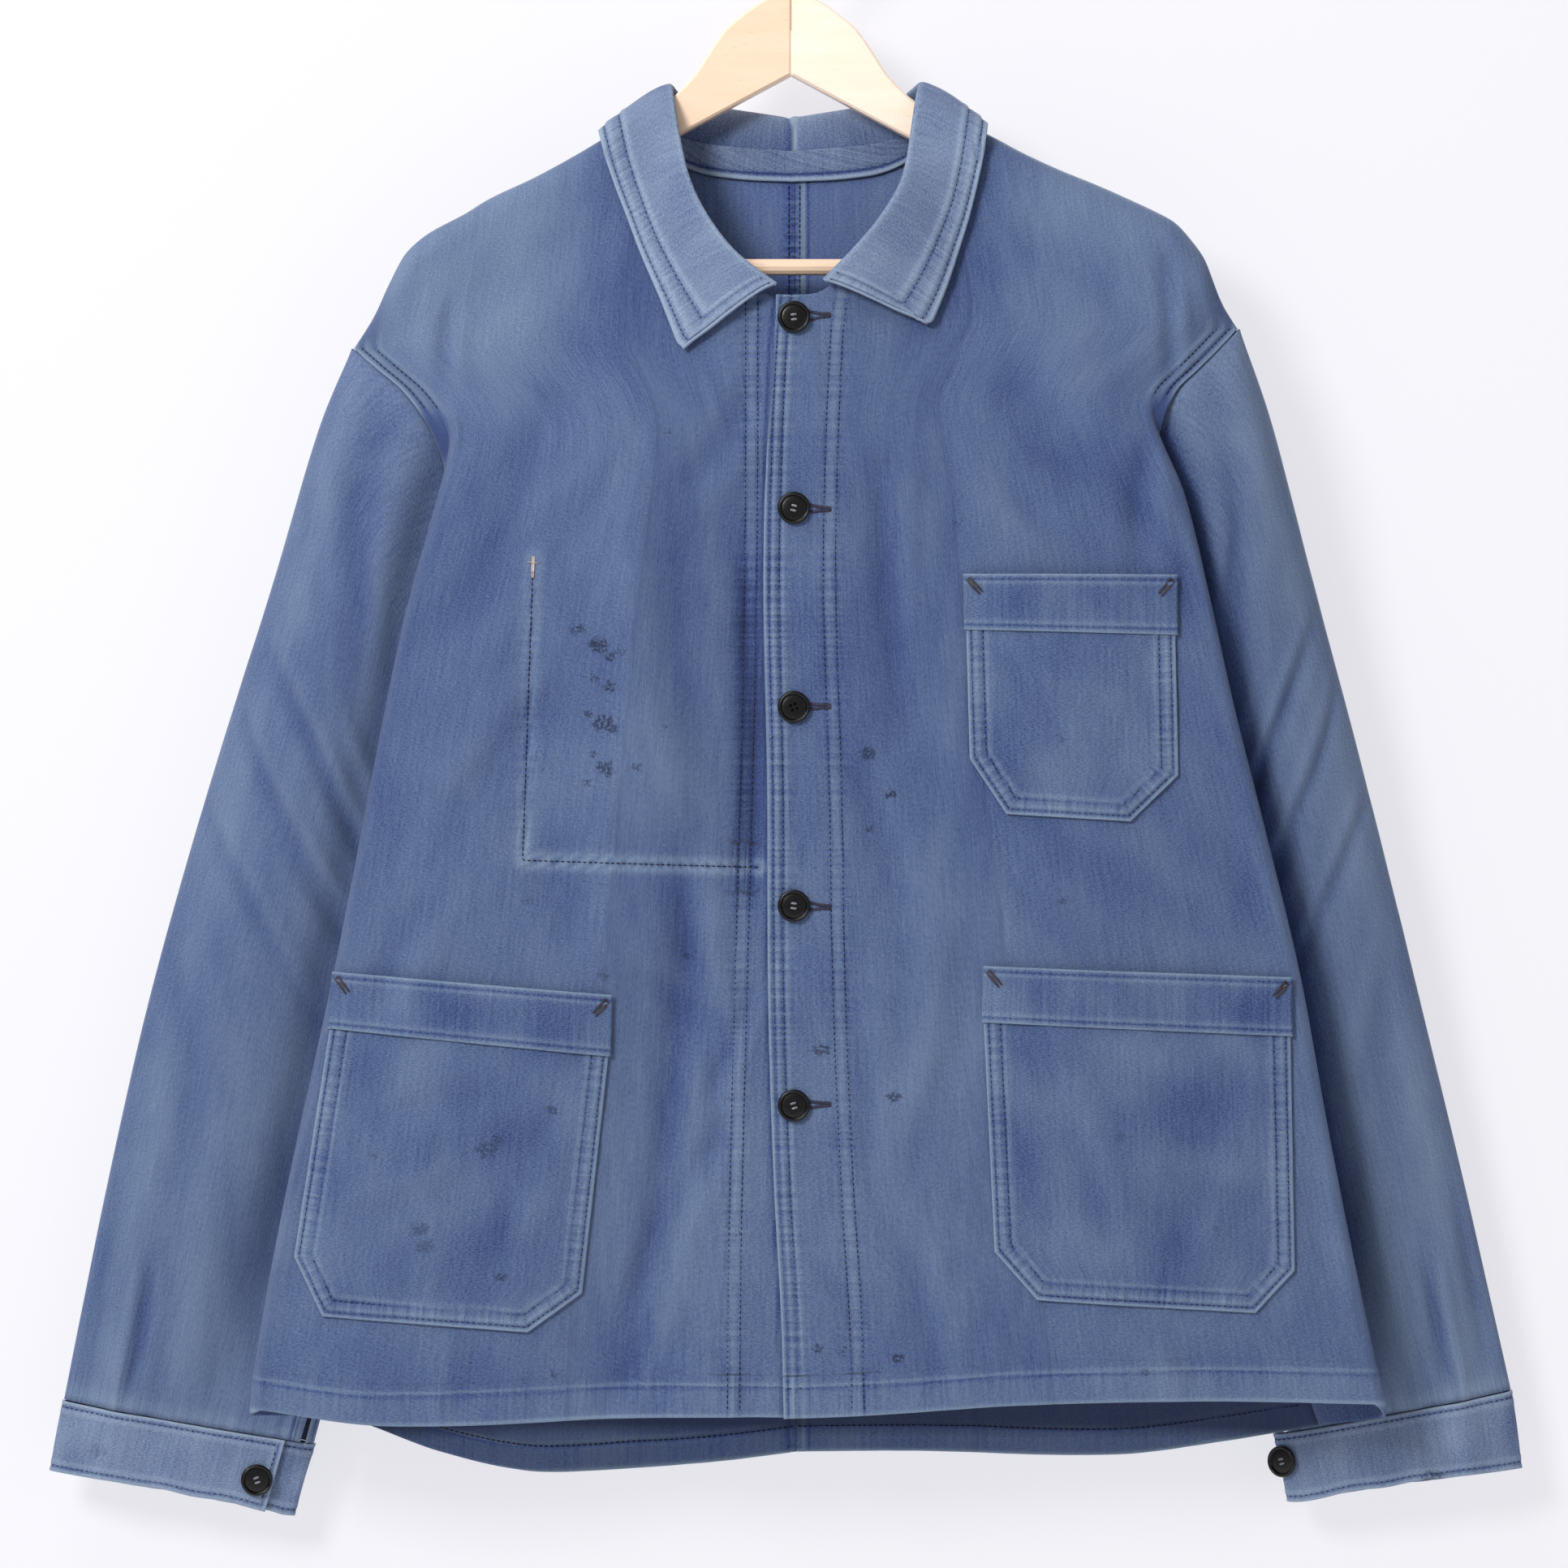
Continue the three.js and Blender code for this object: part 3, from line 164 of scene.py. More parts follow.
# Each side, named for the wearer: the lines of its fold, seams, shoulder and hems, its sleeve's outer (o) and
# inner (i) edge and its depth in front and behind, and its collar's roll (r) and free edge (e).
SIDES = {
    "right": {
        "sign": -1,
        "shoulderTip": -251,
        "underarm": -470,
        "foldTop": -288,
        "fold": table("z x", [
            [-845, 301.5], [-823, 299.5], [-731, 283], [-594, 253.4], [-465, 228.2], [-400, 214.5],
            [-340, 198], [-307, 190], [-290, 192], [-276, 203], [-262, 219], [-251, 231],
        ]),
        "seam": table("z x y", [
            [-850, 252, -8], [-731, 224, 1], [-600, 197, 6], [-470, 184, 0], [-400, 182, -18],
            [-340, 187, -32], [-306, 197, -39], [-294, 203, -39], [-276, 216, -36], [-262, 232, -31],
            [-251, 244.5, -22],
        ]),
        "backEdge": table("z x y", [
            [-850, 252, -8], [-731, 224, 1], [-600, 197, 6], [-470, 184, 0], [-400, 193, 12], [-330, 212, 13],
            [-280, 232, 2], [-251, 244.5, -21],
        ]),
        "ridge": table("x z", [
            [NECK_POINT, NECK_POINT_Z], [108, -133.5], [141.7, -153], [169.4, -166.5], [183, -175],
            [201.4, -185], [210.2, -191.6], [217.4, -199.6], [225.6, -215.6], [233.5, -233], [244.5, -251],
        ]),
        "frontHem": table("x z", [[-20, -846.5], [6, -846.4], [72, -846.2], [230, -851], [302, -842.5]]),
        "backHem": table("x z", [
            [-3, -874], [48, -879.7], [126, -886], [160, -884.5], [208, -871.8], [247, -856], [262, -850],
        ]),
        "sleeve": table("t ox oz ix iz oy iy front back", [
            [0, 244.5, -251, 184, -470, -21, 0, 28, 22],
            [0.12, 264, -292, 188, -490, -10, 4, 31, 24],
            [0.3, 293, -385, 199, -545, 0, 9, 31, 25],
            [0.5, 329, -497, 217, -630, 8, 13, 28, 22],
            [0.7, 363, -615, 236, -725, 14, 16, 23, 18],
            [0.85, 389, -728, 252, -797, 18, 19, 18, 14],
            [1, 412.7, -844, 271, -869, 21, 22, 12.5, 10],
        ]),
        "cuffFoot": {"ox": 420, "oz": -884, "ix": 283, "iz": -910},
        "flapEnd": 0.785 * math.pi,
        "cuffButton": {"angle": 0.725 * math.pi, "down": 0.6},
        "collar": table("s x rx ry rz ex ey ez", [
            [0, 12, 9, -51, -218, 61, -53, -255.7],
            [0.14, 36, 32, -47, -199.8, 72, -46, -226.4],
            [0.28, 55, 47.5, -43, -179.4, 82, -37, -203],
            [0.42, 68, 57.5, -37, -158, 91.5, -29, -178],
            [0.56, 78.5, 63.6, -28, -132, 101.5, -26, -152],
            [0.64, 82.7, 66.5, -18.5, -113, 105.5, -26.5, -139],
            [0.68, 84.8, 67.5, -12.5, -106, 106.7, -21, -132.5],
            [0.72, 86, 68, -7, -102, 107, -10, -129.3],
            [0.79, 80, 64.5, 2, -105, 103.5, 11, -128],
            [0.86, 66, 56, 10, -110, 96.5, 18.5, -145.5],
            [1, 0, 0, 14, -118.8, 0, 17.5, -184],
        ]),
    },
    "left": {
        "sign": 1,
        "shoulderTip": -240,
        "underarm": -460,
        "foldTop": -280,
        "fold": table("z x", [
            [-841, 331], [-780, 317.5], [-690, 299.5], [-600, 283], [-520, 263.7], [-454, 247],
            [-394, 233.6], [-334, 219], [-300, 205], [-280, 201.5], [-265, 213], [-253, 224], [-240, 236.5],
        ]),
        "seam": table("z x y", [
            [-855, 297, -8], [-780, 271, -4], [-700, 245, 2], [-600, 216, 5], [-460, 199, 0],
            [-400, 198, -16], [-350, 199, -27], [-300, 205, -36], [-275, 215, -38], [-263, 227, -35],
            [-253, 237, -31], [-240, 249.5, -22],
        ]),
        "backEdge": table("z x y", [
            [-855, 297, -8], [-780, 271, -4], [-700, 245, 2], [-600, 216, 5], [-460, 199, 0], [-390, 205, 12],
            [-320, 220, 13], [-270, 237, 2], [-240, 249.5, -21],
        ]),
        "ridge": table("x z", [
            [NECK_POINT, NECK_POINT_Z], [112, -130.5], [130, -140.3], [150, -149.8], [170.3, -158.3],
            [188, -166.3], [207, -175.5], [215.5, -180.7], [223.4, -189.4], [231.5, -201], [236.6, -214.2],
            [241, -225.6], [249.5, -240],
        ]),
        "frontHem": table("x z", [[-6, -847], [46, -845], [146, -838.5], [236, -837.2], [331, -839.4]]),
        "backHem": table("x z", [
            [3, -874], [80, -874], [163, -875.5], [200, -874], [242, -867], [276, -860], [297, -855],
        ]),
        "sleeve": table("t ox oz ix iz oy iy front back", [
            [0, 249.5, -240, 199, -460, -21, 0, 28, 22],
            [0.12, 268, -286, 203, -482, -10, 4, 31, 24],
            [0.3, 292, -373, 213, -540, 0, 9, 31, 25],
            [0.5, 324, -491, 229, -625, 8, 13, 28, 22],
            [0.7, 354, -609, 246, -718, 14, 17, 23, 18],
            [0.85, 382, -723, 262, -790, 18, 21, 18, 14],
            [1, 408.5, -838.5, 275, -863.7, 21, 24, 12.5, 10],
        ]),
        "cuffFoot": {"ox": 414, "oz": -882.6, "ix": 283, "iz": -902.6},
        "flapEnd": 1.12 * math.pi,
        "cuffButton": {"angle": 0.93 * math.pi, "down": 0.4},
        "collar": table("s x rx ry rz ex ey ez", [
            [0, 21, 19, -51, -216, 77, -50, -241],
            [0.14, 41, 38.5, -47, -195, 84, -45, -224],
            [0.28, 58, 50.5, -43, -180, 91, -37, -204],
            [0.42, 69.5, 62, -37, -160, 98.6, -29, -180],
            [0.56, 79.5, 67, -28, -137, 106, -27, -151],
            [0.64, 83, 70.5, -19, -113.5, 108.5, -27.5, -136],
            [0.68, 85, 72, -12.5, -105, 109, -21, -129],
            [0.72, 86, 73, -7, -101, 109, -10, -125],
            [0.79, 80, 68, 2, -104, 105, 11.5, -124.5],
            [0.86, 66, 59, 10, -109, 98, 18.5, -143],
            [1, 0, 0, 14, -118.8, 0, 17.5, -184],
        ]),
    },
}
NECKLINE = table("x z", [
    [0, -223], [16, -221], [34, -207], [52, -188], [66, -167], [76, -145], [NECK_POINT, NECK_POINT_Z],
])
BACK_NECKLINE = table("x z", [
    [0, -153], [30, -151.5], [55, -147], [72, -137], [NECK_POINT, NECK_POINT_Z],
])
UPPER_EDGE = table("z x", [
    [-847, -4.2], [-792, -5.6], [-716, -9.7], [-616, -12.8], [-490, -13.5], [-391, -15.5], [-320, -14.4],
    [-249, -11.3], [-221, -8.5],
])
# The large folds of the fronts, each (top x, top z, foot x, foot z, width, rise), and the flutes of the back,
# each (x, width, rise).
FRONT_FOLDS = [
    [-84, -320, -76, -600, 36, 5],
    [-34, -330, -30, -540, 26, -5],
    [-52, -580, -112, -860, 38, -8],
    [62, -300, 66, -560, 34, -5],
    [-172, -300, -190, -620, 44, 4],
    [150, -520, 175, -860, 60, 5],
    [-215, -640, -240, -860, 40, 3],
]
BACK_FOLDS = [[-205, 40, -4], [-128, 48, 7], [-40, 40, -4], [60, 44, 3], [150, 50, -3], [215, 40, 3]]


# ---- Creases ----
def creases(rows):
    """Creases: each a soft ridge (height above 0) or trough from one point to another, bent sideways by bow."""
    return table("a1 b1 a2 b2 width height bow", rows)


# On the fronts, the back and the pockets, a and b are x and z.
FRONT_CREASES = creases([
    [-25, -375, -21, -548, 7, -2.4, 2], [-58, -545, -85, -795, 9, -2.4, 5],
    [209, -203, 212, -272, 5, -1.7, 0],
    [-190, -226, -195, -276, 5, -1.5, 0], [-20, -270, -60, -330, 10, -1.1, 4],
    [-88, -340, -70, -500, 15, 1.6, -6], [-62, -560, -40, -700, 8, -1.6, 4],
    [-40, -690, -90, -790, 8, -1.7, -5], [-22, -610, -48, -672, 5, -0.9, 2],
    [-60, -742, -100, -838, 6, -1.0, 3], [-120, -250, -160, -330, 16, -1.2, 6],
    [-150, -330, -200, -420, 14, -1.3, 8], [-140, -430, -205, -520, 12, 1.1, -6],
    [-90, -600, -30, -640, 7, -0.7, 3], [-150, -500, -120, -590, 14, -0.9, 5],
    [-205, -560, -232, -640, 9, -1.0, -4], [-60, -812, -30, -845, 7, 0.8, 2],
    [-190, -800, -200, -845, 8, 0.9, 2], [-270, -700, -280, -800, 9, -0.8, 2],
    [50, -312, 62, -455, 8, -1.5, -3], [30, -470, 60, -560, 9, -1.0, 4],
    [82, -560, 64, -680, 10, 1.1, 4], [36, -600, 50, -740, 7, -1.0, -3],
    [60, -745, 84, -840, 8, -1.1, 3], [118, -250, 170, -330, 18, -1.2, -8],
    [200, -300, 196, -380, 8, -1.7, -5], [182, -330, 226, -400, 9, -1.1, 5],
    [150, -535, 230, -575, 10, -1.0, 4], [84, -400, 92, -500, 10, 0.8, 2],
    [240, -520, 262, -590, 9, -1.0, 3], [200, -805, 214, -838, 8, 0.9, 1],
    [286, -700, 300, -790, 9, -0.8, -2], [130, -800, 120, -840, 8, -0.7, 2],
    [14, -760, 40, -800, 5, -0.7, 2], [120, -185, 190, -225, 16, -0.9, 4],
    [-120, -190, -190, -235, 16, -0.9, -4], [96, -330, 140, -368, 9, 0.7, 3],
])
# On a sleeve, a is down its length and b round its front from the outer edge.
SLEEVE_CREASES = creases([
    [40, 40, 190, 66, 9, -1.8, 8], [70, 84, 210, 96, 8, -1.4, -6], [20, 20, 120, 32, 10, 1.2, 4],
    [220, 26, 270, 108, 8, -1.7, 6], [262, 18, 300, 96, 7, -1.4, -7], [300, 60, 345, 132, 8, -1.5, 5],
    [330, 12, 372, 76, 7, -1.1, 4], [190, 70, 262, 128, 9, 1.2, 6], [372, 88, 420, 134, 7, -1.0, 4],
    [420, 30, 520, 52, 9, -1.0, 5], [440, 100, 560, 92, 8, -1.2, -5], [500, 60, 636, 68, 8, 1.4, 3],
    [540, 22, 640, 30, 7, -1.1, -3], [560, 120, 640, 108, 6, -0.9, 3], [120, 110, 200, 136, 7, -1.0, 3],
    [566, 41, 637, 43, 3, 1.8, 1], [570, 47, 637, 49, 3, -1.7, 1],
    [100, -40, 240, -60, 12, -1.6, 8], [230, -20, 300, -110, 10, -1.5, -6], [290, -30, 350, -120, 9, -1.2, 6],
    [380, -60, 540, -76, 12, 1.3, -8], [480, -110, 620, -96, 9, -1.1, 4],
])
BACK_CREASES = creases([
    [-120, -230, -170, -420, 16, -2.0, 10], [110, -220, 176, -410, 16, -2.0, -10],
    [-40, -200, -60, -330, 12, 1.2, 6], [50, -210, 60, -360, 13, -1.2, -5],
    [-150, -440, -90, -520, 11, -1.3, 6], [150, -450, 96, -560, 11, -1.3, -6],
    [-30, -480, -36, -640, 10, -1.0, 4], [80, -600, 110, -780, 14, 1.6, 5],
    [-110, -600, -130, -800, 14, -1.6, -6], [-200, -660, -215, -820, 10, 1.2, 3],
    [190, -640, 220, -800, 10, -1.2, -3], [20, -700, 30, -850, 9, 0.9, 3],
])


def crease_field(rows, a, b):
    """Height of a set of creases: a soft trough or ridge each, with a slight swell at one flank."""
    total = np.zeros(np.broadcast(a, b).shape)
    for a1, b1, a2, b2, width, height, bow in zip(*rows.values()):
        length = math.hypot(a2 - a1, b2 - b1)
        ta, tb = (a2 - a1) / length, (b2 - b1) / length
        t = ((a - a1) * ta + (b - b1) * tb) / length
        off = (b - b1) * ta - (a - a1) * tb - bow * 4 * t * (1 - t)
        reach = smooth(t, -0.22, 0.3) * smooth(t, 1.22, 0.7)
        total += 1.9 * height * reach * (bell(off, width) - 0.45 * bell(off - 1.7 * width, width * 0.9))
    return total


def topstitch(distance, rows):
    """The form beside an edge: a groove under each row of stitches, and a soft ridge inside it."""
    total = 0.3 * smooth(distance, rows[-1] + 1, rows[-1] - 1)
    for row in rows:
        total = total - 0.6 * bell(distance - row, 0.9) + 0.5 * bell(distance - row - 2, 1.3)
    return total


def rubbed(distance, rows):
    """How much paler the nap is worn along an edge and on the ridge inside each row of stitches."""
    total = 1.0 * bell(distance, 1.4)
    for row in rows:
        total = total + 0.4 * bell(distance - row - 2, 1.3) - 0.42 * bell(distance - row, 0.9)
    return total


def from_outline(corners, x, z):
    """How far points are from a line of corners, and how far along it their nearest places are."""
    nearest, at, passed = np.full(np.shape(x), 1e9), np.zeros(np.shape(x)), 0.0
    for (x1, z1), (x2, z2) in zip(corners[:-1], corners[1:]):
        length = math.hypot(x2 - x1, z2 - z1)
        t = np.clip(((x - x1) * (x2 - x1) + (z - z1) * (z2 - z1)) / length**2, 0, 1)
        distance = np.hypot(x - x1 - t * (x2 - x1), z - z1 - t * (z2 - z1))
        at = np.where(distance < nearest, passed + t * length, at)
        nearest = np.minimum(nearest, distance)
        passed += length
    return nearest, at


# ---- Fronts ----
def neck_dip(x, z):
    return NECK_DIP * bell(np.hypot(x - 80, z + 120), NECK_DIP_WIDTH)


def ridge_height(side, reach):
    return along(side["ridge"], "x", reach, "z") + np.maximum(NECK_POINT - reach, 0) * 0.7


def over_shoulder(side, reach, z):
    slope = (ridge_height(side, reach - 2) - ridge_height(side, reach + 2)) / 4
    below = np.maximum(ridge_height(side, reach) - z, 0) / np.hypot(1, slope)
    return 1 - np.sqrt(1 - (1 - np.minimum(below / SHOULDER_ROUND, 1)) ** 2)


def front_depth(side, x, z):
    reach = np.abs(x)
    shoulder = 11 + ARM_SWEEP * reach + 31 * bell(reach, 60)
    body = 50 - 5 * (reach / 300) ** 2
    hang = lerp(body, shoulder, smooth(z, -330, -150))
    for top_x, top_z, foot_x, foot_z, width, rise in FRONT_FOLDS:
        down = (z - top_z) / (foot_z - top_z)
        tail = 1 if foot_z < -850 else smooth(down, 1.2, 0.75)
        hang = hang + rise * smooth(down, -0.25, 0.3) * tail * bell(x - lerp(top_x, foot_x, down), width)
    lap = LAP_STEP * smooth(x, CLOSING_X - 46, CLOSING_X - 17) if side["sign"] < 0 else 0
    return lerp(-hang, -ARM_SWEEP * reach, over_shoulder(side, reach, z)) + lap


def closing_edge(side, z):
    return along(UPPER_EDGE, "z", z, "x") if side["sign"] > 0 else np.zeros_like(z) - (CLOSING_X + UNDERLAP)


def facing_row(side, z):
    """Where the inner edge of a front's facing is stitched, as the distance from the closing edge."""
    top, foot = (33, 38) if side["sign"] > 0 else (36, 46)
    return lerp(top, foot, smooth(z, -300, -846))


# The line where the inner pocket's bag is sewn to the right front, from its mouth down and across.
INNER_POCKET = np.array([[-143.0, -370.0], [-149.0, -537.0], [-18.0, -541.0]])


def front_relief(side, x, z):
    """How far a front stands out from its plain form, in its own x and z."""
    sign = side["sign"]
    from_edge = x * sign - closing_edge(side, z)
    over_hem = z - along(side["frontHem"], "x", np.abs(x), "z")
    settled = bell(from_edge - 6, 9)
    relief = crease_field(FRONT_CREASES, x, z) + 0.55 * drift(x, z, 120, 3) + 0.2 * drift(x, z, 43, 8)
    relief += 0.42 * ripple(z, 17 if sign > 0 else 21, 2.2) * bell(from_edge - 6, 7)
    relief += topstitch(from_edge, CLOSING_ROWS) + 0.6 * bell(from_edge - 0.9, 1.1) if sign > 0 else 0
    facing = facing_row(side, z)
    relief += 0.3 * ripple(z, 15, 5.1) * bell(from_edge - facing - 3.5, 6)
    for row in FACING_ROWS:
        relief -= 0.3 * bell(from_edge - facing - row, 1.2)
    relief += 0.38 * smooth(over_hem, 17.5, 15.5) - 0.35 * bell(over_hem - FRONT_HEM_ROW, 1.2)
    relief += 0.4 * ripple(x, 26, 1.7) * bell(over_hem - 12, 12)
    relief += 0.5 * drift(x, z, 70, 5) * bell(over_hem, 22)
    if sign < 0:
        sewn, at = from_outline(INNER_POCKET, x, z)
        relief += 0.35 * ripple(at, 23, 2.4) * bell(sewn, 8) - 0.5 * bell(sewn, 1.4)
        across = smooth(x, -149, -140) * smooth(x, -24, -34)
        relief += 0.9 * across * smooth(z, -370, -378) * smooth(z, -541, -532)
    return relief * (1 - 0.6 * settled * (sign < 0))


def front_surface(side, x, z):
    return front_depth(side, x, z) - front_relief(side, x, z)


def into_seam(side, z):
    outward = smooth(z, side["foldTop"] - 45, side["foldTop"] + 5)
    a, b = lerp(-0.85, 0.92, outward), lerp(0.5, 0.4, outward)
    return a / np.hypot(a, b), b / np.hypot(a, b)


def fold_section(side, z, turn):
    """A front's section past where its fold starts: turn is 0 to 1 round the fold, 1 to 2 on the return."""
    start_x = along(side["fold"], "z", z, "x") - FOLD_RADIUS
    start_y = front_depth(side, start_x * side["sign"], z)
    angle = np.clip(turn, 0, 1) * np.pi / 2
    from_x, from_y = start_x + FOLD_RADIUS, start_y + FOLD_RADIUS
    to_x, to_y = along(side["seam"], "z", z, "x"), along(side["seam"], "z", z, "y")
    reach = np.hypot(to_x - from_x, to_y - from_y)
    way_x, way_y = into_seam(side, z)
    t = np.clip(turn - 1, 0, 1)
    a, b, c, d = (1 - t) ** 3, 3 * t * (1 - t) ** 2, 3 * t * t * (1 - t), t**3
    bend_x = a * from_x + b * from_x + c * (to_x - way_x * reach * 0.35) + d * to_x
    bend_y = a * from_y + b * (from_y + reach * 0.3) + c * (to_y - way_y * reach * 0.35) + d * to_y
    round_x = start_x + FOLD_RADIUS * np.sin(angle)
    round_y = start_y + FOLD_RADIUS * (1 - np.cos(angle))
    return start_x, np.where(turn <= 1, round_x, bend_x), np.where(turn <= 1, round_y, bend_y)


def return_depth(side, x, z):
    low, high = np.zeros_like(x), np.ones_like(x)
    for _ in range(12):
        middle = (low + high) / 2
        beyond = fold_section(side, z, 1 + middle)[1] > x
        low, high = np.where(beyond, middle, low), np.where(beyond, high, middle)
    return fold_section(side, z, 1 + low)[2]


def welt_share(side, z):
    """Where a front's armhole seam shows, between the shoulder's tip and the top of the side fold."""
    tip, top = side["shoulderTip"], side["foldTop"]
    return smooth(z, top - 6, top + 6) * smooth(z, tip + 8, tip - 2)


NECK_SHARE, BACK_NECK_SHARE = 0.46, 0.355  # where the neck point's line meets the hem


def front_point(side, u, down):
    """A front's outer face: u is 0 at the closing, 1 at the neck point, 2 at the fold and 4 at the seam."""
    sign = side["sign"]
    fold_start = along(side["fold"], "z", side["shoulderTip"], "x") - 20
    x_closing = closing_edge(side, np.array(-221.0))
    x = np.where(u <= 1, lerp(x_closing, NECK_POINT, u), lerp(NECK_POINT, fold_start, u - 1))
    top_x = np.where(u <= 2, x, lerp(fold_start, side["ridge"]["x"][-1], (u - 2) / 2))
    neck_z = along(NECKLINE, "x", np.abs(top_x), "z")
    top_z = np.where(top_x < NECK_POINT, neck_z, ridge_height(side, top_x))
    share = np.where(u <= 1, NECK_SHARE * u, lerp(NECK_SHARE, 1, np.minimum(u - 1, 1)))
    hem_z = along(side["frontHem"], "x", share * along(side["fold"], "z", -841, "x"), "z")
    z = lerp(top_z, lerp(hem_z, side["backHem"]["z"][-1], np.maximum(u - 2, 0) / 2), down)
    level = np.minimum(z, side["shoulderTip"])
    start_x, turned_x, turned_y = fold_section(side, level, np.maximum(u - 2, 0))
    seam_x, seam_y = along(side["seam"], "z", level, "x"), along(side["seam"], "z", level, "y")
    flat_x = lerp(closing_edge(side, z), start_x, share)
    plain_x = np.where(u <= 2, flat_x, lerp(start_x, seam_x, (u - 2) / 2))
    settling = lerp(120, np.maximum(top_z - side["shoulderTip"], 0) + 1, smooth(u, 1, 2))
    x = lerp(top_x, plain_x, np.where(u == 4, 1, smooth(top_z - z, 0, settling)))
    turned = smooth(z, side["foldTop"] + 8, side["foldTop"] - 26)
    at_tip = smooth(z, side["shoulderTip"] + 30, side["shoulderTip"] - 5)
    near = smooth(seam_x - x, 45, 0) * at_tip * (1 - turned)
    y = lerp(front_depth(side, x * sign, z), seam_y, np.where(u == 4, 1, near))
    x = np.where(u > 2, lerp(x, turned_x, turned), x)
    y = np.where(u > 2, lerp(y, turned_y, turned), y)
    y = y - np.where((down == 0) & (u >= 1), GAP / 2, 0)
    y = y - topstitch((seam_x - x) * WELT_SLOPE, WELT_ROWS) * welt_share(side, z) * (u > 2)
    x = x + np.where(u == 4, GAP / 2, 0)
    loose = smooth(u, lerp(3.8, 2.5, turned), lerp(3.0, 1.95, turned)) * smooth(top_z - z, 6, 30)
    z = z - neck_dip(np.minimum(x, seam_x), z)
    return xyz(x * sign, y - loose * front_relief(side, x * sign, z), z)


# ---- Back ----
def back_depth(side, x, z):
    reach = np.abs(x)
    shoulder = 13 - ARM_SWEEP * np.maximum(reach - 50, 0)
    hang = lerp(26, shoulder, smooth(z, -430, -160))
    for fold_x, width, rise in BACK_FOLDS:
        hang = hang + rise * smooth(z, -420, -820) * bell(x - fold_x, width)
    return lerp(hang, -ARM_SWEEP * reach, over_shoulder(side, reach, z))


def back_point(side, u, down):
    """The back's outer face: u is 0 at the centre seam, 1 at the neck point and 2 at the outer seam."""
    sign = side["sign"]
    seam_x = BACK_SEAM_X * sign
    top_x = np.where(u <= 1, lerp(seam_x, NECK_POINT, u), lerp(NECK_POINT, side["ridge"]["x"][-1], u - 1))
    top_z = np.where(u < 1, along(BACK_NECKLINE, "x", np.abs(top_x), "z"), ridge_height(side, top_x))
    share = np.where(u <= 1, BACK_NECK_SHARE * u, lerp(BACK_NECK_SHARE, 1, u - 1))
    hem_x = lerp(seam_x, side["backHem"]["x"][-1], share)
    hem_z = along(side["backHem"], "x", hem_x, "z")
    z = lerp(top_z, hem_z, down)
    level = np.minimum(z, side["shoulderTip"])
    edge_x, edge_y = along(side["backEdge"], "z", level, "x"), along(side["backEdge"], "z", level, "y")
    x = lerp(top_x, lerp(seam_x, edge_x, share), np.where(u == 2, 1, smooth(top_z - z, 0, 130)))
    to_edge = np.maximum(x / edge_x, 0) ** 4 * smooth(z, side["shoulderTip"] + 25, side["shoulderTip"] - 40)
    y = lerp(back_depth(side, x * sign, z), edge_y, np.where(u == 2, 1, to_edge))
    y = y + np.where((down == 0) & (u >= 1), GAP / 2, 0)
    x = x + np.where(u == 0, sign * GAP / 2, 0) - np.where(u == 2, GAP / 2, 0)
    z = z - neck_dip(x, z)
    x = x * sign
    loose = smooth(u, 2, 1.85) * smooth(top_z - z, 8, 34)
    relief = crease_field(BACK_CREASES, x, z) + 0.6 * drift(x, z, 120, 6)
    relief += 0.3 * ripple(z, 16, 4.4) * bell(x - 2, 5) - 0.7 * bell(x - 6.8, 1.4)
    relief += 0.3 * smooth(z - hem_z, 15.5, 13.5) - 0.35 * bell(z - hem_z - BACK_HEM_ROW, 1.2)
    relief += 0.4 * ripple(x, 24, 2.9) * bell(z - hem_z - 10, 11)
    return xyz(x, y + loose * relief, z)


# ---- Sleeves and cuffs ----
def armhole_point(side, angle):
    is_front = np.sin(angle) >= 0
    z = lerp(side["shoulderTip"], side["underarm"], (1 - np.cos(angle)) / 2)
    edge = lambda column: np.where(
        is_front, along(side["seam"], "z", z, column), along(side["backEdge"], "z", z, column)
    )
    way_x, way_y = into_seam(side, z)
    past = xyz(np.where(is_front, way_x * 3.4, 1.4), np.where(is_front, way_y * 3.4, 0.3), 0)
    past = lerp(past, np.array([4.0, 4.0, 4.0]), bell(np.pi - np.abs(angle), 0.6)[..., None])
    return xyz(edge("x"), edge("y"), z) + past * GAP * 2


def sleeve_base(side, t, angle):
    value = lambda column: along(side["sleeve"], "t", t, column)
    inner = (1 - np.cos(angle)) / 2
    swell = np.abs(np.sin(angle)) ** 0.8
    pleat = 3.2 * smooth(t, 0.86, 0.97) * bell(angle - 0.32 * np.pi, 0.16)
    depth = np.where(np.sin(angle) >= 0, -(value("front") * swell + pleat), value("back") * swell)
    point = xyz(
        lerp(value("ox"), value("ix"), inner),
        lerp(value("oy"), value("iy"), inner) + depth,
        lerp(value("oz"), value("iz"), inner),
    )
    seam_share = smooth(0, -0.06, 0.13)
    settled = ((smooth(t, -0.06, 0.13) - seam_share) / (1 - seam_share))[..., None]
    point = np.where((t < 0.13)[..., None], lerp(armhole_point(side, angle), point, settled), point)
    x, y, z = point[..., 0], point[..., 1], point[..., 2]
    seam_x, fold_x = along(side["seam"], "z", z, "x"), along(side["fold"], "z", z, "x")
    behind = (z < side["foldTop"] - 20) & (x > seam_x) & (x < fold_x + 3) & (t > 0) & (np.sin(angle) > -0.5)
    against = return_depth(side, np.minimum(x, fold_x - 0.5), z) + SLEEVE_CLEARANCE * smooth(t, 0, 0.06) + 0.6
    point[..., 1] = np.where(behind, np.maximum(y, against), y)
    point[..., 0] *= side["sign"]
    return point


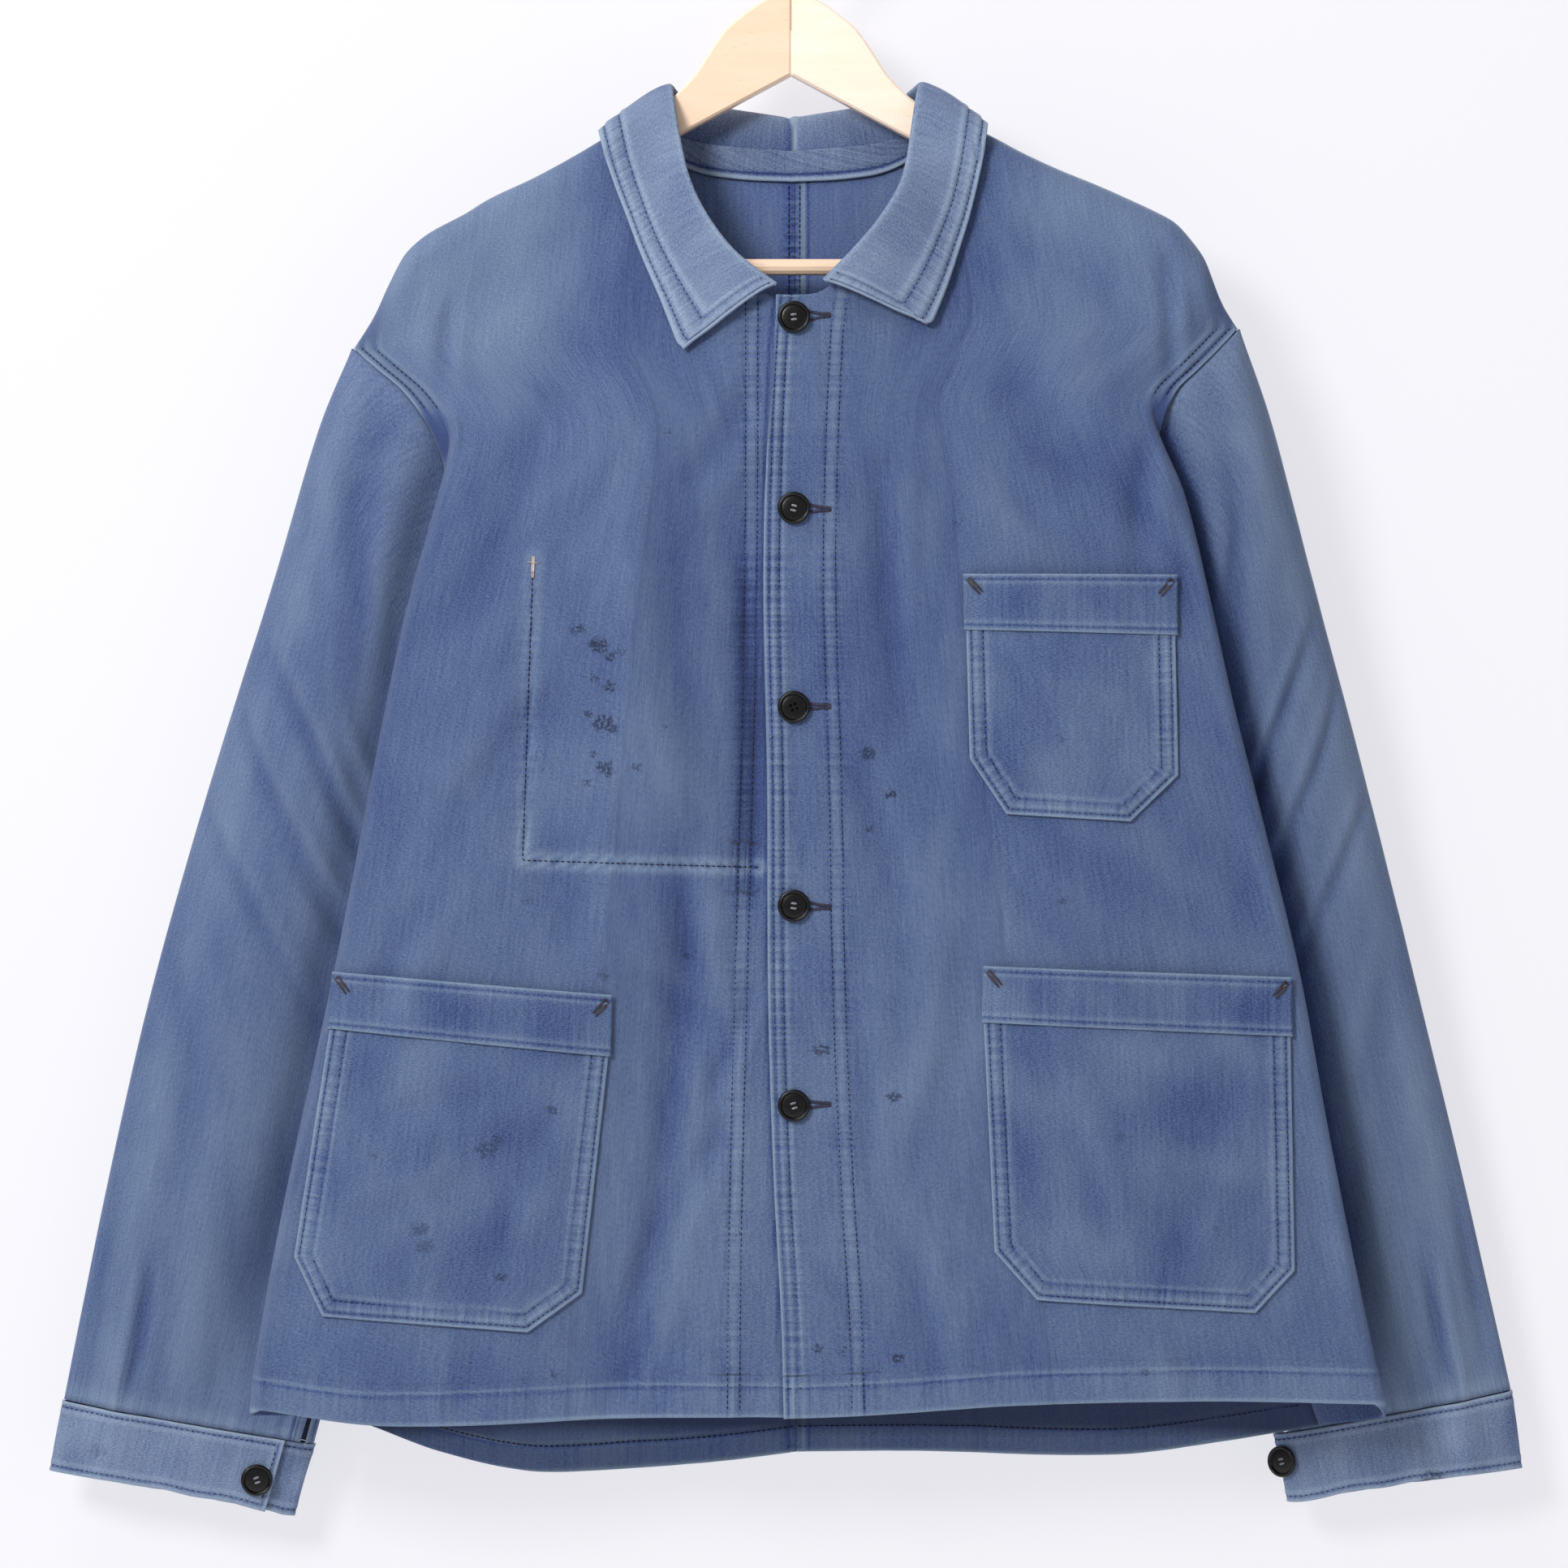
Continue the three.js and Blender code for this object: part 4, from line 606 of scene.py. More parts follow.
def outward_of(at, a, b, step_a, step_b, outward):
    """Unit normals of a surface at(a, b), on the side that outward points to."""
    here = at(a, b)
    da, db = at(a + step_a, b) - here, at(a, b + step_b) - here
    normal = np.cross(da, db)
    normal /= np.maximum(np.linalg.norm(normal, axis=-1, keepdims=True), 1e-9)
    sense = np.sign((normal * outward).sum(-1, keepdims=True))
    return here, normal * np.where(sense == 0, 1, sense)


def sleeve_axis(side, t):
    ends = sleeve_base(side, t, np.zeros_like(t)) + sleeve_base(side, t, np.zeros_like(t) + np.pi)
    return ends / 2


def sleeve_surface(side, t, angle, lift=0.0):
    """A sleeve's outer face with its creases, moved out by lift."""
    t, angle = np.broadcast_arrays(np.asarray(t, float), np.asarray(angle, float))
    here = sleeve_base(side, t, angle)
    normal = outward_of(
        lambda a, b: sleeve_base(side, a, b), np.clip(t, 0, 0.995), angle, 0.004, 0.02,
        here - sleeve_axis(side, t),
    )[1]
    wrapped = (angle + np.pi) % (2 * np.pi) - np.pi
    a, b = t * SLEEVE_LENGTH, wrapped * SLEEVE_RADIUS
    relief = crease_field(SLEEVE_CREASES, a, b) + 0.6 * drift(a, b, 110, 4 + side["sign"])
    from_seam = np.abs(wrapped - SLEEVE_SEAM_ANGLE) * SEAM_RADIUS
    relief += topstitch(from_seam, SLEEVE_ROWS) + 0.35 * ripple(a, 15, 3.3) * bell(from_seam - 5, 6)
    relief += 0.4 * ripple(b, 19, 7.7) * smooth(t, 0.93, 1)
    relief *= smooth(t, 0.005, 0.05) * (1 - 0.7 * smooth(t, 0.97, 1))
    squeezed = np.clip((np.abs(np.sin(angle)) - 0.02) / 0.25, 0.15, 1)
    tucked = smooth(t, 0.012, 0) * 2.2 * smooth(np.abs(angle), 0.0, 0.3)
    beside = here[..., 0] * side["sign"] - along(side["fold"], "z", here[..., 2], "x")
    # Beside the front's side fold the sleeve sinks back, so that the fold stands in front of it.
    sunk = 9 * bell(beside - 2, 15) * smooth(here[..., 2], side["foldTop"] + 5, side["foldTop"] - 45)
    sunk *= smooth(np.sin(angle), 0.1, 0.7) * smooth(here[..., 2], -860, -760)
    here = here + xyz(0, sunk, 0)
    under = xyz(-side["sign"], 0.55 * np.sign(np.sin(angle)), 0) * tucked[..., None]
    return here + normal * (relief * squeezed + lift)[..., None] + under


def cuff_outward(side, angle):
    way = xyz(side["sign"] * np.cos(angle) * 0.16, -np.sin(angle), 0)
    return way / np.maximum(np.linalg.norm(way, axis=-1, keepdims=True), 1e-9)


def cuff_surface(side, angle, down, lift=0.0):
    """A cuff's outer face: down is 0 at its top and 1 at its foot."""
    angle, down = np.broadcast_arrays(np.asarray(angle, float), np.asarray(down, float))
    top = sleeve_base(side, np.ones_like(angle), angle)
    inner = (1 - np.cos(angle)) / 2
    foot_x = lerp(side["cuffFoot"]["ox"], side["cuffFoot"]["ix"], inner) * side["sign"]
    foot_z = lerp(side["cuffFoot"]["oz"], side["cuffFoot"]["iz"], inner)
    front = np.clip(np.sin(angle), -0.4, 1)
    foot_z = foot_z + 2.6 * front * np.abs(front) + 0.6 * ripple(angle * SLEEVE_RADIUS, 31, 2.8)
    foot = xyz(foot_x, top[..., 1], foot_z)
    under = side["flapEnd"] - 2 * np.pi
    tuck = 3.6 * smooth(angle, under + 0.22 * np.pi, under + 0.05 * np.pi)
    around, low = ((angle + np.pi) % (2 * np.pi) - np.pi) * SEAM_RADIUS, down * CUFF_DEPTH
    relief = topstitch(np.minimum(low, CUFF_DEPTH - low), CUFF_ROWS) * 0.8 + 0.4 * drift(around, low, 60, 9)
    relief += 0.45 * ripple(around, 21, 1.1) * bell(low, 14)
    out = cuff_outward(side, angle)
    return lerp(top, foot, down[..., None]) + out * (0.9 - tuck + relief * 0.8 + lift)[..., None]


# ---- Collar ----
def collar_base(s, t):
    """The collar's middle layer: s runs from its right front end to its left, t from the neck to the edge."""
    s, t = np.broadcast_arrays(np.asarray(s, float), np.asarray(t, float))
    right = s < 0.5
    at = np.where(right, s * 2, (1 - s) * 2)
    sign = np.where(right, -1.0, 1.0)
    sides = (SIDES["right"], SIDES["left"])
    value = lambda column: np.where(right, *[along(side["collar"], "s", at, column) for side in sides])
    on_neck = at < COLLAR_SHOULDER
    seam_x = np.minimum(value("x"), NECK_POINT)
    on_back = smooth(at, COLLAR_SHOULDER - 0.1, COLLAR_SHOULDER + 0.1)
    seam_z = np.where(on_neck, along(NECKLINE, "x", seam_x, "z"), along(BACK_NECKLINE, "x", seam_x, "z"))
    fronts = np.where(right, *[front_depth(side, seam_x * side["sign"], seam_z) for side in sides])
    backs = np.where(right, *[back_depth(side, seam_x * side["sign"], seam_z) for side in sides])
    seam_y = np.where(on_neck, fronts, backs) + lerp(CLOTH / 2, -CLOTH / 2, on_back)
    neck = xyz(seam_x, seam_y, seam_z + lerp(3.5, 2, on_back))
    roll = xyz(value("rx"), value("ry"), value("rz"))
    height = np.linalg.norm(roll - neck, axis=-1, keepdims=True)
    edge = xyz(value("ex"), value("ey"), value("ez"))
    below = [front_depth(side, edge[..., 0] * side["sign"], edge[..., 2]) for side in sides]
    below = np.where(right, *below) - COLLAR_LIFT
    edge[..., 1] = np.where(at < 0.66, lerp(below, edge[..., 1], smooth(at, 0.5, 0.66)), edge[..., 1])
    at_back = smooth(at, 0.86, 1)
    out = xyz(lerp(edge[..., 0] - roll[..., 0], 0, at_back), lerp(edge[..., 1] - roll[..., 1], 8, at_back), 0)
    out /= np.linalg.norm(out, axis=-1, keepdims=True)
    up = np.array([0.0, 0.0, 1.0])

    def bezier(a, b, c, d, share):
        share = np.clip(share, 0, 1)[..., None]
        rest = 1 - share
        return a * rest**3 + b * 3 * share * rest**2 + c * 3 * share**2 * rest + d * share**3

    before = roll - out * np.minimum(2.5, height * 0.3)
    stand = bezier(neck, neck + up * height * 0.35, before, roll, t / COLLAR_ROLL)
    fallen = (t - COLLAR_ROLL) / (1 - COLLAR_ROLL)
    fall = bezier(roll, roll + out * 5.5, lerp(edge, roll, 0.55) + out * 5, edge, fallen)
    point = np.where((t < COLLAR_ROLL)[..., None], stand, fall)
    point[..., 0] *= sign
    return point


def collar_surface(s, t, lift=0.0):
    """The collar with its relief, moved to the leaf's outer side by lift from its middle layer."""
    s, t = np.broadcast_arrays(np.asarray(s, float), np.asarray(t, float))
    inner_s, inner_t = np.clip(s, 0, 0.998), np.clip(t, 0, 0.985)
    centre = np.array([0.0, -12.0, -300.0])
    here = collar_base(s, t)
    normal = outward_of(collar_base, inner_s, inner_t, 0.002, 0.012, here - centre)[1]
    from_edge, from_end = (1 - t) * LEAF_DEPTH, np.minimum(s, 1 - s) * COLLAR_LENGTH
    across, from_middle = s * COLLAR_LENGTH, (s - 0.5) * COLLAR_LENGTH
    leaf = smooth(t, COLLAR_ROLL, COLLAR_ROLL + 0.12)
    relief = topstitch(np.minimum(from_edge, from_end), COLLAR_ROWS) * leaf
    relief += 0.45 * ripple(from_edge, 8.5, 1.9) * bell(from_end - 6, 5) * leaf
    relief += 0.22 * ripple(across, 11, 3.1) * bell(from_edge - 6, 5) * leaf
    relief += 0.45 * (drift(across, t * COLLAR_DEPTH, 75, 2) + 0.6) * leaf
    relief += 0.8 * bell(from_middle - 1.2, 1.3) - 0.5 * bell(from_middle + 1, 1.2)
    at = np.minimum(s, 1 - s) * 2
    tucked = bell(at - 0.71, 0.08) * smooth(t, 0.24, 0.02)
    here = here - tucked[..., None] * xyz(np.where(s < 0.5, -2.0, 2.0), 0, 3.2)
    # The leaf's free edge rides up over the back of the neck.
    here = here + xyz(0, 0, 15 * bell(from_middle, 44) * smooth(t, COLLAR_ROLL, 0.95))
    tip = bell(np.hypot(from_end, from_edge), 5.5)
    inner = collar_base(np.clip(s, 0.02, 0.98), np.minimum(t, 0.85)) - here
    inner /= np.maximum(np.linalg.norm(inner, axis=-1, keepdims=True), 1)
    return here + normal * (relief + lift)[..., None] + inner * (2.6 * tip)[..., None]


# ---- Pockets ----
POCKETS = {
    "chest_pocket": {
        "side": "left",
        "inner": table("x z", [[96.5, -378.2], [97, -409], [99, -480.8], [119.3, -511.4]]),
        "outer": table("x z", [[213, -378.5], [213, -411.9], [214.7, -489.8], [188.1, -515.4]]),
        "creases": creases([
            [110, -420, 150, -470, 7, -0.9, 3], [190, -424, 172, -500, 8, -0.8, 3],
            [130, -440, 196, -452, 7, 0.6, 3],
        ]),
    },
    "low_pocket_left": {
        "side": "left",
        "inner": table("x z", [[107.5, -595.5], [106.5, -626.6], [112.6, -753.8], [136.1, -780.5]]),
        "outer": table("x z", [[276.5, -602], [277, -634.7], [279.5, -764.6], [257.5, -788.2]]),
        "creases": creases([
            [130, -640, 176, -760, 9, -1.2, 6], [250, -650, 214, -770, 10, -1.1, -5],
            [150, -650, 232, -672, 8, -0.9, 5], [190, -690, 256, -712, 8, 0.8, -4],
            [128, -720, 168, -774, 6, -0.7, 2],
        ]),
    },
    "low_pocket_right": {
        "side": "right",
        "inner": table("x z", [[-100.2, -611.8], [-101.4, -645.9], [-116.1, -777.5], [-146.1, -798.8]]),
        "outer": table("x z", [[-253.5, -598.8], [-256, -630.2], [-276, -757], [-260, -789.9]]),
        "creases": creases([
            [-124, -660, -170, -780, 9, -1.2, -6], [-240, -650, -214, -770, 10, -1.1, 5],
            [-140, -664, -230, -684, 8, -0.9, -5], [-180, -700, -252, -724, 8, 0.8, 4],
        ]),
    },
}


def along_corners(corners, place):
    i = np.minimum(np.floor(place).astype(int), len(corners["x"]) - 2)
    return [lerp(corners[key][i], corners[key][i + 1], place - i) for key in ("x", "z")]


def pocket_outline(pocket, inset):
    """The bag's sides and foot as a line of corners from its inner top to its outer, moved in by inset."""
    inner = np.stack([pocket["inner"]["x"], pocket["inner"]["z"]], 1)
    outer = np.stack([pocket["outer"]["x"], pocket["outer"]["z"]], 1)
    path = np.concatenate([inner, outer[::-1]])
    ways = np.diff(path, axis=0)
    ways /= np.linalg.norm(ways, axis=1, keepdims=True)
    side = np.stack([-ways[:, 1], ways[:, 0]], 1) * (1 if path[-1, 0] > path[0, 0] else -1)
    corners = [path[0] + side[0] * inset]
    for a, b, corner in zip(side[:-1], side[1:], path[1:-1]):
        middle = a + b
        corners.append(corner + middle * inset / (middle @ a))
    corners.append(path[-1] + side[-1] * inset)
    return np.array(corners)


def pocket_surface(pocket, across, place, band=False):
    """The face of a pocket's bag, or of the band along its mouth: place counts its corners from the mouth."""
    side = SIDES[pocket["side"]]
    spread, lift = (BAND_SPREAD, BAND_LIFT) if band else (0, BAG_LIFT)
    inner_x, inner_z = along_corners(pocket["inner"], place)
    outer_x, outer_z = along_corners(pocket["outer"], place)
    x = lerp(inner_x - side["sign"] * spread, outer_x + side["sign"] * spread, across)
    z = lerp(inner_z, outer_z, across)
    bow = np.sin(np.pi * across)
    slack = 1.6 * bow * np.sin(np.pi * np.minimum(place, 2.6) / 2.6) + 2 * bow * smooth(place, 0.8, 0)
    if band:
        low = place * BAND_DEPTH
        relief = topstitch(np.minimum(low, BAND_DEPTH - low), BAND_ROWS) * 0.9
        relief = relief + 0.3 * ripple(x, 13, 3.7) * bell(low - 16, 18) + 0.3 * drift(x, z, 60, 7)
    else:
        edge = from_outline(pocket_outline(pocket, 0), x, z)[0]
        relief = topstitch(edge, POCKET_ROWS) + 0.35 * ripple(x + z, 12, 2.7) * bell(edge - 6, 5)
        relief = relief + 0.55 * crease_field(pocket["creases"], x, z) * smooth(edge, 8, 26)
        relief = relief + 0.5 * drift(x, z, 50, 1)
    return xyz(x, front_surface(side, x, z) - slack - lift - relief, z)


# ---- Settings that a user may change ----
def srgb(code):
    """A linear colour from an sRGB hex value."""
    parts = [int(code[i : i + 2], 16) / 255 for i in (1, 3, 5)]
    return tuple(p / 12.92 if p <= 0.04045 else ((p + 0.055) / 1.055) ** 2.4 for p in parts)


def colour_property(name, code, description):
    return bpy.props.FloatVectorProperty(
        name=name, description=description, subtype="COLOR", size=3, min=0, max=1, default=srgb(code)
    )


def size_property(name, length, shortest, description):
    """A length, given in millimetres."""
    return bpy.props.FloatProperty(
        name=name, description=description, default=length * MM, min=shortest * MM, unit="LENGTH"
    )


class JacketSizes(bpy.types.PropertyGroup):
    stitch_pitch: size_property("Stitch pitch", 3.1, 1, "From one stitch to the next")
    thread_width: size_property("Thread width", 0.62, 0.1, "Width of the sewing thread")
    shell: size_property("Cloth", 1.3, 0.2, "Thickness of one layer of cloth")
    wall_gap: size_property("Wall", 52, 0, "Depth of the backdrop behind the hook")


class JacketColours(bpy.types.PropertyGroup):
    blue: colour_property("Blue", "#3b4c79", "Moleskin where its nap is whole")
    faded: colour_property("Faded", "#71839d", "Moleskin where it has faded")
    collar: colour_property("Collar", "#7f8fa8", "Collar and cuffs, the most faded")
    inside: colour_property("Inside", "#405288", "The inside of the back, which has faded less")
    thread: colour_property("Thread", "#0e1226", "Topstitching")
    wood: colour_property("Beech", "#fbe0c8", "The hanger's right arm and bar")
    # Painted light: the left arm's colour is a lit, paler copy of the same beech, for the light its face
    # catches as it turns toward the lamp.
    lit_beech: colour_property("Pale beech", "#fdeadb", "The hanger's left arm, of a paler board")
    button: colour_property("Buttons", "#070707", "Black plastic")
    wire: colour_property("Wire", "#c9ccd0", "Plated steel wire")
    backdrop: colour_property("Backdrop", "#f6f5fa", "Wall and floor behind the jacket")


def sizes():
    return bpy.context.scene.jacket_sizes


def colours():
    return bpy.context.scene.jacket_colours


# ---- Materials ----
# What each point of the cloth tells its material: how pale its nap is rubbed, made darker where shade is
# painted into folds and beside edges, how strongly a seam puckers it, and how far along that seam it lies, in
# millimetres.
WEAR = ("worn", "pucker", "along")
# The cloth's darkest blue, for the dark of stitch grooves and for painted shade in folds and under the
# front's hem.
DEEP_BLUE = "#262f4c"


def feed(tree, value, socket):
    """Links a socket to another, or sets it to a value; None leaves it as it is."""
    if isinstance(value, bpy.types.NodeSocket):
        tree.links.new(value, socket)
    elif value is not None:
        socket.default_value = value


def node(tree, kind, *values, out=None, **settings):
    """Adds a shader node with its settings, feeds its sockets in their order, and gives its first output or
    the one named."""
    made = tree.nodes.new("ShaderNode" + kind)
    for key, value in settings.items():
        setattr(made, key, value)
    for value, socket in zip(values, [socket for socket in made.inputs if socket.enabled]):
        feed(tree, value, socket)
    return made.outputs[out] if out else next(socket for socket in made.outputs if socket.enabled)


def new_material(name):
    material = bpy.data.materials.new(name)
    material.use_nodes = True
    return material, material.node_tree


def set_surface(material, **values):
    """Feeds the sockets of the material's Principled shader, whose names have _ for a space here."""
    shader = material.node_tree.nodes["Principled BSDF"]
    for key, value in values.items():
        feed(material.node_tree, value, shader.inputs[key.replace("_", " ")])
    return material


def rgba(colour):
    return (*tuple(colour)[:3], 1.0)


def shade(code):
    return rgba(srgb(code))


# Coordinates are in metres, so a noise of scale 2 / MM has features of about half a millimetre.
def moleskin(name, blue, faded, stains=(), inside=None):
    """Cotton moleskin, a heavy satin whose face is sheared and brushed to a short nap. It is matt, its nap
    catches grazing light, and washing leaves it mottled, streaked down the warp and pale on every edge."""
    material, tree = new_material(name)
    cloth = node(tree, "UVMap", uv_map="Cloth")
    worn, pucker, seam = [node(tree, "Attribute", out="Fac", attribute_name=key) for key in WEAR]
    # The nap's grain is about 0.5 mm; it is drawn at 0.9 and 2 mm so that it shows, and lies on the satin's
    # slant.
    slanted = node(tree, "Mapping", cloth, None, (0, 0, -0.5), (0.55, 1.6, 1))
    slant = node(tree, "TexNoise", slanted, 1.1 / MM, 2, 0.6)
    mottle = node(tree, "TexNoise", cloth, 0.5 / MM, 4, 0.6)
    patches = node(tree, "Mapping", cloth, None, None, (1, 0.55, 1))
    patches = node(tree, "TexNoise", patches, 0.032 / MM, 3, 0.6)
    streaks = node(tree, "Mapping", cloth, None, None, (1, 0.03, 1))
    streaks = node(tree, "TexNoise", streaks, 0.9 / MM, 2, 0.6)
    # Sewing draws the cloth up into small uneven ridges, about 3 mm apart, whose tops are rubbed pale.
    bent = node(tree, "Math", mottle, 2.2, seam, operation="MULTIPLY_ADD")
    ridge = node(tree, "TexNoise", bent, 0.3, 1.5, noise_dimensions="1D")
    ridge = node(tree, "MapRange", ridge, 0.36, 0.64, -0.5, 0.5)
    ridge = node(tree, "Math", ridge, pucker, operation="MULTIPLY")
    paleness = node(tree, "Math", ridge, 0.45, worn, operation="MULTIPLY_ADD")
    for field, share in ((patches, 0.6), (streaks, 0.6), (slant, 1.7), (mottle, 0.45)):
        field = node(tree, "Math", field, 0.5, operation="SUBTRACT")
        paleness = node(tree, "Math", field, share, paleness, operation="MULTIPLY_ADD")
    # Below zero the paleness darkens the cloth toward DEEP_BLUE: the dark of stitch grooves, and painted
    # shade in folds and beside edges.
    groove = node(tree, "Math", paleness, -1.6, operation="MULTIPLY", use_clamp=True)
    paleness = node(tree, "Math", paleness, 1.3, operation="MINIMUM")
    paleness = node(tree, "Math", paleness, -0.05, operation="MAXIMUM")
    between = {"data_type": "RGBA", "clamp_factor": False}
    colour = node(tree, "Mix", paleness, rgba(blue), rgba(faded), **between)
    if inside is not None:
        facing = node(tree, "NewGeometry", out="True Normal")
        facing = node(tree, "SeparateXYZ", facing, out="Y")
        lining = node(tree, "Math", facing, 0.0, operation="LESS_THAN")
        level = node(tree, "SeparateXYZ", node(tree, "TexCoord", out="Object"), out="Z")
        # Painted shadow: the lining side just above the back's hem, under the front's hem, is darkened toward
        # DEEP_BLUE where the front's shadow falls.
        low = node(tree, "MapRange", level, -790 * MM, -835 * MM, 0, 0.75)
        above_hem = node(tree, "MapRange", level, -866 * MM, -858 * MM)
        painted_hem_shadow = node(tree, "Math", low, above_hem, operation="MULTIPLY")
        hidden = node(tree, "Mix", paleness, rgba(inside), rgba(faded), **between)
        hidden = node(tree, "Mix", painted_hem_shadow, hidden, shade(DEEP_BLUE), **between)
        colour = node(tree, "Mix", lining, colour, hidden, **between)
    colour = node(tree, "Mix", groove, colour, shade(DEEP_BLUE), **between)
    if stains:
        colour = stained(tree, colour, stains)
    height = node(tree, "Math", mottle, 0.35, slant, operation="MULTIPLY_ADD")
    height = node(tree, "Math", ridge, 2.0, height, operation="MULTIPLY_ADD")
    raised = node(tree, "Bump", 0.75, 0.38 * MM, None, height)
    return set_surface(
        material, Base_Color=colour, Roughness=0.92, Specular_IOR_Level=0.2, Sheen_Weight=0.22,
        Sheen_Roughness=0.45, Sheen_Tint=(0.8, 0.86, 1, 1), Normal=raised,
    )


def stained(tree, colour, stains):
    """The colour with small ragged marks on it, each (x, z, size, strength), in millimetres."""
    flatten = (0.75, 0, 1)
    place = node(tree, "TexCoord", out="Object")
    bend = node(tree, "TexNoise", place, 450, 1, out="Color")
    bend = node(tree, "VectorMath", bend, (0.5, 0.5, 0.5), operation="SUBTRACT")
    bend = node(tree, "VectorMath", bend, 8.5 * MM, operation="SCALE")
    moved = node(tree, "VectorMath", place, bend, operation="ADD")
    flat = node(tree, "VectorMath", moved, flatten, operation="MULTIPLY")
    total = 0.0
    for x, z, size, strength in stains:
        spot = node(tree, "VectorMath", flat, (flatten[0] * x * MM, 0, z * MM), operation="DISTANCE")
        mark = node(tree, "MapRange", spot, size * 0.55 * MM, size * MM, strength, 0.0)
        total = node(tree, "Math", total, mark, operation="MAXIMUM")
    ragged = node(tree, "MapRange", node(tree, "TexNoise", place, 0.7 / MM, 3, 0.6), 0.4, 0.5)
    stain = node(tree, "Math", total, ragged, operation="MULTIPLY")
    return node(tree, "Mix", stain, colour, shade("#232a40"), data_type="RGBA")


def worn_thread(name, scale, dark, light, roughness):
    """Twisted thread whose surface has worn: matt, in two tones that run into each other."""
    material, tree = new_material(name)
    tone = node(tree, "TexNoise", node(tree, "TexCoord", out="Object"), scale / MM, 2, 0.6)
    tone = node(tree, "Mix", tone, shade(dark), shade(light), data_type="RGBA")
    return set_surface(material, Base_Color=tone, Roughness=roughness)


def spun_thread(colour):
    """Polyester sewing thread, spun and dyed: dark and a little lustrous, and paler where it has chafed."""
    material, tree = new_material("spun_polyester_thread")
    chafed = node(tree, "TexNoise", node(tree, "TexCoord", out="Object"), 0.05 / MM, 2, 0.6)
    chafed = node(tree, "MapRange", chafed, 0.58, 0.8)
    tone = node(tree, "Mix", chafed, rgba(colour), shade("#4a5884"), data_type="RGBA")
    return set_surface(material, Base_Color=tone, Roughness=0.7, Specular_IOR_Level=0.3)


def beech(name, colour):
    """Beech, planed and varnished: pale, with fine brown flecks along the grain and a satin coat."""
    material, tree = new_material(name)
    grain = node(tree, "Mapping", node(tree, "TexCoord", out="Object"), None, None, (0.12, 1, 1))
    bands = node(tree, "TexNoise", grain, 0.12 / MM, 3, 0.6)
    flecks = node(tree, "MapRange", node(tree, "TexNoise", grain, 0.9 / MM, 1, 0.6), 0.66, 0.8, 0, 0.16)
    deeper = (colour[0] * 0.93, colour[1] * 0.84, colour[2] * 0.72, 1)
    tone = node(tree, "Mix", bands, rgba(colour), deeper, data_type="RGBA")
    tone = node(tree, "Mix", flecks, tone, shade("#9a6a3c"), data_type="RGBA")
    return set_surface(
        material, Base_Color=tone, Roughness=0.42, Coat_Weight=0.25, Coat_Roughness=0.25,
        Normal=node(tree, "Bump", 0.12, 0.2 * MM, None, bands),
    )


def plated_wire(colour):
    """Drawn steel wire, nickel plated: bright, with faint lines from drawing."""
    material, tree = new_material("nickel_plated_wire")
    lines = node(tree, "TexNoise", node(tree, "TexCoord", out="Object"), 1.2 / MM, 1, 0.6)
    drawn = node(tree, "Bump", 0.08, 0.1 * MM, None, lines)
    return set_surface(material, Base_Color=rgba(colour), Roughness=0.22, Metallic=1.0, Normal=drawn)


def black_plastic(colour):
    """Pressed casein-like plastic, tumbled to a half gloss: near black, with fine scuffs in its shine."""
    material, tree = new_material("tumbled_black_plastic")
    scuffs = node(tree, "TexNoise", node(tree, "TexCoord", out="Object"), 0.7 / MM, 3, 0.6)
    scuffs = node(tree, "MapRange", scuffs, 0, 1, 0.18, 0.42)
    return set_surface(material, Base_Color=rgba(colour), Roughness=scuffs, Specular_IOR_Level=0.4)


# ---- Making cloth ----
def mesh_from(shape, name):
    mesh = bpy.data.meshes.new(name)
    shape.to_mesh(mesh)
    shape.free()
    return mesh


def add_object(name, data):
    made = bpy.data.objects.new(name, data)
    bpy.context.collection.objects.link(made)
    return made


def finish_piece(piece, material, slot, *nodes):
    piece.data.materials.clear()
    piece.data.materials.append(material)
    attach(piece, "root")
    if nodes:
        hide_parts(*nodes)
    return piece


